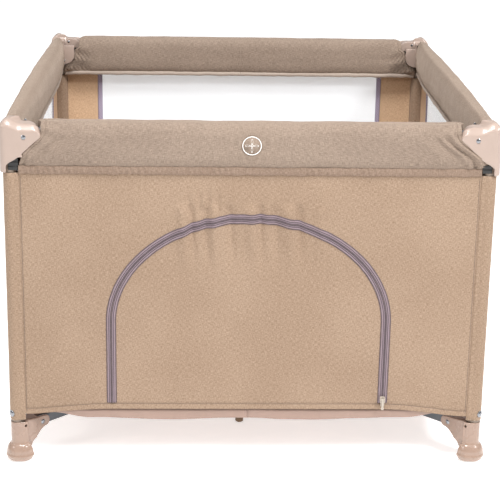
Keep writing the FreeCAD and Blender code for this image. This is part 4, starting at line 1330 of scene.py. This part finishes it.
# ---- mesh walls --------------------------------------------------------------------------------
@dataclass
class MeshWall:
    """A side with netting in a frame of cloth, woven tape round the netting and a binding on top."""

    side: Side
    window_half: float = 379.0
    window_low: float = 212.0
    tape: float = 12.0

    def build(self, finishes: Finishes) -> None:
        """Build the wall.

        Args:
            finishes: the pen's finishes.
        """
        label, seed = self.side.label, 3.0 * self.side.value
        node = f"mesh_wall_{label}"

        def surface(x: float, z: float, lift: float = 0.0) -> Point:
            seam = 1.0 * hump(abs(x), PANEL_EDGE - 1, 1.6) + 0.9 * hump(z, PANEL_LOW + 12, 1.8)
            return x, -WALL_LINE - wall_depth(x, z, seed) + seam - lift, z

        def keep(x: float, z: float) -> bool:
            return abs(x) > self.window_half or z < self.window_low

        columns = [-PANEL_EDGE, -PANEL_EDGE + 2, *steps(-PANEL_EDGE + 5, -self.window_half, 6),
                   *steps(-self.window_half, self.window_half, 8)[1:],
                   *steps(self.window_half, PANEL_EDGE - 5, 6)[1:], PANEL_EDGE - 2, PANEL_EDGE]
        rows = [PANEL_LOW, *steps(PANEL_LOW + 3, self.window_low, 6),
                *steps(self.window_low, PANEL_HIGH, 8)[1:]]
        border = Cloth(f"wall_border_{label}", columns, rows, surface, self.side, keep=keep, thick=1.0)
        piece = border.build(finishes.border)
        net = Cloth(f"wall_netting_{label}", steps(-self.window_half - 3, self.window_half + 3, 12),
                    steps(self.window_low - 3, PANEL_HIGH, 12), surface, self.side).build(finishes.netting)
        tapes = self._tapes(surface, finishes)
        slots = [(piece, "wall_cloth"), (net, "mesh_cloth"), *((tape, "zip_tape") for tape in tapes)]
        for made, slot in slots:
            gather_wall(made, self.side)
        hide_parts(node)
        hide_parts(node)
        TopBinding(self.side).build(finishes)

    def _tapes(self, surface: Callable[..., Point], finishes: Finishes) -> list[bpy.types.Object]:
        """Woven tapes along the two uprights and the foot of the netting, on both faces."""
        tapes = []
        half, low = self.tape / 2, self.window_low
        for face, lift in (("outer", 1.4), ("inner", -1.4)):
            for hand, word in ((-1, "left"), (1, "right")):
                middle = hand * (self.window_half - half + 3)
                tapes.append(Cloth(
                    f"wall_tape_{self.side.label}_{face}_{word}", steps(middle - half, middle + half, 3),
                    steps(low - 6, PANEL_HIGH - 2, 8), lambda x, z, lift=lift: surface(x, z, lift), self.side,
                    thick=0.6).build(finishes.edge_tape))
            tapes.append(Cloth(
                f"wall_tape_{self.side.label}_{face}_foot",
                steps(-self.window_half - 3, self.window_half + 3, 8), steps(low - half, low + half, 3),
                lambda x, z, lift=lift: surface(x, z, lift * 1.3), self.side,
                thick=0.6).build(finishes.edge_tape))
        return tapes


# ---- base ----------------------------------------------------------------------------------------
@dataclass
class Base:
    """Cloth floor, mat, pull strap and the mouldings under them."""

    cloth_pitch: float = 9.0
    mat_round: float = 24.0

    def build(self, finishes: Finishes) -> None:
        """Build the base.

        Args:
            finishes: the pen's finishes.
        """
        for corner in Corner:
            self._quarter(corner, finishes)
            dress(f"base_arm_{corner.label}", finishes.arm_paint)
        self._mat(finishes)
        self._strap(finishes)
        dress("hub", finishes.hub)
        dress("hub_foot", finishes.hub)
        dress("hub_pins", finishes.plated)
        dress("mat_foot", finishes.peg)

    def _quarter(self, corner: Corner, finishes: Finishes) -> None:
        """One quarter of the cloth floor, which rises with its arm."""
        side_x, side_y = corner.value
        half, low, rim = BASE_BOX[1].x - 1, BASE_BOX[0].z + 1, BASE_BOX[1].z

        def sag(at: float) -> float:
            deep = 5.5 if side_y < 0 else 4.0
            return deep * hump(at, -165, 95) + deep * hump(at, 120, 110)

        def place(u: float, v: float) -> Point:
            x, y = min(u, half), min(v, half)
            up = max(0.0, u - half) + max(0.0, v - half)
            edge = max(ease(u, half - 60, half) * sag(side_y * y), ease(v, half - 60, half) * sag(side_x * x))
            edge -= (11 * ease(u, half - 26, half) * ease(v, 330, 410)
                     + 11 * ease(v, half - 26, half) * ease(u, 330, 410))
            floor = low + 1.2 * grain(side_x * x, side_y * y, 0, 60, 7)
            height = min(rim, floor - edge * (1 - min(1.0, up / 14)) + up)
            if max(u, v) > half:
                height = min(rim - 0.5, max(height, low - edge + up))
            hollow = math.hypot(x, y)
            height -= 1.5 * ease(hollow, 200, 60)
            return side_x * x, side_y * y, height

        reach = [*steps(0.0, half, self.cloth_pitch), half + 3, half + 7, half + 12, half + 18]
        leg = half - (LEG_LINE - 15.5)

        def keep(u: float, v: float) -> bool:
            near_leg = u > half - leg and v > half - leg
            strap = abs(u) < 20 and abs(v) < 18
            return not near_leg and not strap and not (u > half and v > half)

        quarter = Cloth(f"base_cloth_{corner.label}", reach, reach, place, keep=keep, thick=0.8)
        piece = quarter.build(finishes.base)
        arm = f"arm_{corner.label}"
        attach(piece, arm)
        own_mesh(piece)
        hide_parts("base_cloth")

    def _mat(self, finishes: Finishes) -> None:
        """Padded mat of four boards in one cover."""
        half, low, high = MAT_BOX[1].x, MAT_BOX[0].z, MAT_BOX[1].z
        middle, thick = (low + high) / 2, (high - low) / 2
        wide, deep = 19.5, 18.5

        def inside(u: float, v: float) -> float:
            straight = half - max(abs(u), abs(v))
            cut = self.mat_round
            dx, dy = abs(u) - (half - cut), abs(v) - (half - cut)
            if dx > 0 and dy > 0:
                straight = cut - math.hypot(dx, dy)
            hole = max(abs(u) - wide, abs(v) - deep)
            return max(0.0, min(straight, hole))

        def shape(u: float, v: float, sign: int) -> Point:
            near = inside(u, v)
            edge = math.sqrt(min(1.0, near / 8.0))
            groove = sum(hump(u, at, 3.5) for at in (-half / 2, 0, half / 2))
            quilt = 0.5 * grain(u, v, 0, 70, 8) + 0.4 * grain(u, v, 0, 22, 9)
            rise = edge * (thick - 1.4 - (2.6 * groove + 0.5 - quilt if sign > 0 else 0.8))
            x, y = u, v
            dx, dy = abs(u) - (half - self.mat_round), abs(v) - (half - self.mat_round)
            if dx > 0 and dy > 0 and math.hypot(dx, dy) > self.mat_round:
                size = self.mat_round / math.hypot(dx, dy)
                x = math.copysign(half - self.mat_round + dx * size, u)
                y = math.copysign(half - self.mat_round + dy * size, v)
            return x, y, middle + sign * rise

        def keep(u: float, v: float) -> bool:
            return abs(u) > wide or abs(v) > deep

        rims = [0.5, 2.0, 4.0, 6.5, 9.5]
        lines = sorted({-wide, wide, *(-half + at for at in (0, *rims)), *(half - at for at in (0, *rims)),
                        *steps(-half + 15, -wide - 6, 9), *steps(wide + 6, half - 15, 9), -8.0, 0.0, 8.0})
        rows = sorted({-deep, deep, *(-half + at for at in (0, *rims)), *(half - at for at in (0, *rims)),
                       *steps(-half + 15, -deep - 6, 9), *steps(deep + 6, half - 15, 9), -8.0, 0.0, 8.0})
        faces = [Cloth("mat_face", lines, rows, lambda u, v, sign=sign: shape(u, v, sign), keep=keep)
                 .build(finishes.mat) for sign in (1, -1)]
        piece = join_objects("floor_mat_cover", faces)
        weld(piece)
        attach(piece, "mat")
        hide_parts("floor_mat")

    def _strap(self, finishes: Finishes) -> None:
        """Webbing loop that lifts the hub."""
        low, top = STRAP_BOX[0].z + 1, STRAP_BOX[1].z
        outer, width = (STRAP_BOX[1].x - STRAP_BOX[0].x) / 2, STRAP_BOX[1].y - STRAP_BOX[0].y
        radius = outer - 1.2
        straight = top - outer - low
        length = 2 * straight + math.pi * radius

        def place(along: float, across: float) -> Point:
            if along < straight:
                x, z = -radius, low + along
            elif along > straight + math.pi * radius:
                x, z = radius, low + length - along
            else:
                angle = math.pi - (along - straight) / radius
                x, z = radius * math.cos(angle), low + straight + radius * math.sin(angle)
            return x, across, z

        piece = Cloth("pull_strap_webbing", steps(0, length, 3), steps(-width / 2, width / 2, 2.5), place,
                      thick=1.8).build(finishes.webbing)
        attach(piece, "hub")
        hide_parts("pull_strap")


# ---- badge -----------------------------------------------------------------------------------
@dataclass
class Badge:
    """Round sewn badge on the front cover: a stitched ring round a plain four-leaf pattern."""

    ring: float = 18.4
    leaf: float = 6.2

    def build(self, finishes: Finishes) -> None:
        """Build the badge.

        Args:
            finishes: the pen's finishes.
        """
        low, high = EMBLEM_BOX
        middle = (low + high) / 2
        reach = (high.x - low.x) / 2
        face = low.y
        mesh = bmesh.new()
        bmesh.ops.create_circle(mesh, cap_ends=True, segments=64, radius=reach * MM)
        bmesh.ops.transform(mesh, matrix=self._stand(middle, face + 0.1), verts=mesh.verts)
        disc = to_object("badge_cloth", mesh, finishes.cover)
        disc.data.uv_layers.new(name="weave")
        for loop, spot in zip(disc.data.loops, disc.data.uv_layers["weave"].data):
            place = disc.data.vertices[loop.vertex_index].co
            spot.uv = (place.x, place.z)
        wall = disc.modifiers.new("cloth_thickness", "SOLIDIFY")
        wall.thickness, wall.offset = 0.6 * MM, 0.0
        mesh = bmesh.new()
        self._circle(mesh, self.ring, 0.75, 1.0, (0, 0), 0)
        self._circle(mesh, 2.4, 0.5, 1.0, (0, 0), 0)
        for quarter in range(4):
            angle = math.radians(90 * quarter)
            at = (8.6 * math.cos(angle), 8.6 * math.sin(angle))
            self._circle(mesh, self.leaf * 0.72, 0.42, 0.42, at, angle)
        bmesh.ops.transform(mesh, matrix=self._stand(middle, face - 0.1), verts=mesh.verts)
        thread = to_object("badge_embroidery", mesh, finishes.white_thread)
        thread.data.uv_layers.new(name="weave")
        for piece in (disc, thread):
            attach(piece, "latch_front")
            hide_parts("emblem")

    def _stand(self, middle: Vector, depth: float) -> Matrix:
        """Turn a flat shape upright and move it onto the cover."""
        upright = Matrix.Rotation(math.radians(90), 4, "X")
        return Matrix.Translation(Vector((middle.x, depth, middle.z)) * MM) @ upright

    def _circle(self, mesh: bmesh.types.BMesh, radius: float, thread: float, squeeze: float,
                at: tuple[float, float], angle: float) -> None:
        """Add one embroidered loop to a mesh, in millimetres about the badge's middle."""
        made = bmesh.ops.create_circle(mesh, cap_ends=False, segments=8, radius=thread * MM)["verts"]
        bmesh.ops.transform(mesh, matrix=Matrix.Diagonal((1, 0.6, 1, 1)), verts=made)
        bmesh.ops.transform(mesh, matrix=Matrix.Translation((radius * MM, 0, 0)) @ Matrix.Rotation(
            math.radians(90), 4, "X"), verts=made)
        edges = list({edge for vertex in made for edge in vertex.link_edges})
        spun = bmesh.ops.spin(mesh, geom=made + edges, cent=(0, 0, 0), axis=(0, 0, 1), angle=2 * math.pi,
                              steps=48, use_merge=True, use_duplicate=False)
        verts = {vertex for edge in edges if edge.is_valid for vertex in edge.verts}
        verts |= {item for item in spun["geom_last"] if isinstance(item, bmesh.types.BMVert)}
        grown = set(verts)
        while True:
            more = {edge.other_vert(vertex) for vertex in grown for edge in vertex.link_edges} - grown
            if not more:
                break
            grown |= more
        spot = Matrix.Translation((at[0] * MM, at[1] * MM, 0))
        matrix = spot @ Matrix.Rotation(angle, 4, "Z") @ Matrix.Diagonal((1, squeeze, 1, 1))
        bmesh.ops.transform(mesh, matrix=matrix, verts=list(grown))


# ---- room ------------------------------------------------------------------------------------
@dataclass
class Room:
    """Plain pale floor, soft studio light and the camera."""

    place: Point = (-0.0942, -3.0831, 1.367)
    yaw: float = -0.035
    pitch: float = 0.2630
    roll: float = 0.0172
    focal: float = 1351.0
    frame_side: float = 500.0
    centre_row: float = 155.0

    def build(self) -> None:
        """Build the floor, the lights and the camera."""
        self._camera()
        self._floor()
        self._lights()

    def _camera(self) -> None:
        """Camera at the viewing angle, with the small upward shift of a view camera."""
        data = bpy.data.cameras.new("view_camera")
        data.sensor_width = 36.0
        data.lens = self.focal / self.frame_side * data.sensor_width
        data.shift_y = (self.centre_row - self.frame_side / 2) / self.frame_side
        camera = bpy.data.objects.new("view_camera", data)
        bpy.context.scene.collection.objects.link(camera)
        level = Vector((-math.sin(self.yaw), math.cos(self.yaw), 0))
        ahead = math.cos(self.pitch) * level - math.sin(self.pitch) * Vector((0, 0, 1))
        right = Vector((math.cos(self.yaw), math.sin(self.yaw), 0))
        up = math.sin(self.pitch) * level + math.cos(self.pitch) * Vector((0, 0, 1))
        across = math.cos(self.roll) * right + math.sin(self.roll) * up
        upright = -math.sin(self.roll) * right + math.cos(self.roll) * up
        camera.matrix_world = Matrix.Translation(self.place) @ Matrix(
            (across, upright, -ahead)).transposed().to_4x4()
        bpy.context.scene.camera = camera

    def _floor(self) -> None:
        """Pale floor of opal acrylic, lit from below."""
        mesh = bmesh.new()
        bmesh.ops.create_grid(mesh, x_segments=1, y_segments=1, size=12.0)
        bmesh.ops.translate(mesh, verts=mesh.verts, vec=(0, 0, -0.001))
        material = blank("Opal_Acrylic_Backlit_Sheet")
        place = add(material, "TexCoord")
        speck = add(material, "TexNoise", {"Scale": 30.0}, {"Vector": place.outputs["Object"]})
        tone = add(material, "Mix", {"data_type": "RGBA", 6: colour("#f6f6f6"), 7: colour("#fafafa")},
                   {0: speck.outputs[0]})
        values = {"Roughness": 0.9, "Specular IOR Level": 0.1, "Emission Color": (1.0, 1.0, 1.0, 1.0),
                  "Emission Strength": 0.55}
        finish(material, values, {"Base Color": tone.outputs[2]})
        to_object("studio_floor", mesh, material)

    def _lights(self) -> None:
        """White surroundings and three large soft lamps."""
        world = bpy.data.worlds.new("studio")
        world.use_nodes = True
        nodes, links = world.node_tree.nodes, world.node_tree.links
        backdrop, rays = nodes["Background"], nodes.new("ShaderNodeLightPath")
        glow = nodes.new("ShaderNodeMapRange")
        backdrop.inputs[0].default_value = (1.0, 1.0, 1.0, 1.0)
        glow.inputs["To Min"].default_value, glow.inputs["To Max"].default_value = 0.5, 1.0
        links.new(rays.outputs["Is Camera Ray"], glow.inputs["Value"])
        links.new(glow.outputs[0], backdrop.inputs[1])
        bpy.context.scene.world = world
        for name, place, size, power, aim in (
            ("key_lamp", (2.4, -2.3, 2.9), 0.7, 106.0, (0, 0, 0.4)),
            ("side_lamp", (-2.9, -2.1, 1.9), 0.8, 24.0, (0, 0, 0.4)),
            ("top_lamp", (-0.2, -1.4, 3.7), 1.0, 122.0, (0, 0.4, 0.4)),
        ):
            data = bpy.data.lights.new(name, "AREA")
            data.shape, data.size, data.energy = "SQUARE", size, power
            lamp = bpy.data.objects.new(name, data)
            bpy.context.scene.collection.objects.link(lamp)
            lamp.location = place
            lamp.rotation_euler = (Vector(aim) - Vector(place)).to_track_quat("-Z", "Y").to_euler()


# ---- everything --------------------------------------------------------------------------------
def main() -> None:
    """Build the whole pen and its room."""
    logging.basicConfig(level=logging.INFO, format="%(name)s: %(message)s")
    bpy.context.scene.view_settings.view_transform = "Standard"
    Room().build()
    finishes = Finishes.make()
    outline = Outline()
    for side in Side:
        for hand in (-1, 1):
            RailCover(side, hand, outline).build(finishes)
    for corner in Corner:
        CornerSet(corner).build(finishes)
    FrontWall().build(finishes)
    for side in (Side.RIGHT, Side.BACK, Side.LEFT):
        MeshWall(side).build(finishes)
    Base().build(finishes)
    Badge().build(finishes)
    for side in Side:
        dress(f"latch_{side.label}", finishes.black)
        dress(f"latch_button_{side.label}", finishes.hub)
        for end in rail_ends(side):
            dress(f"half_rail_{side.label}_{end}", finishes.rail_paint)


if __name__ == "__main__":
    main()
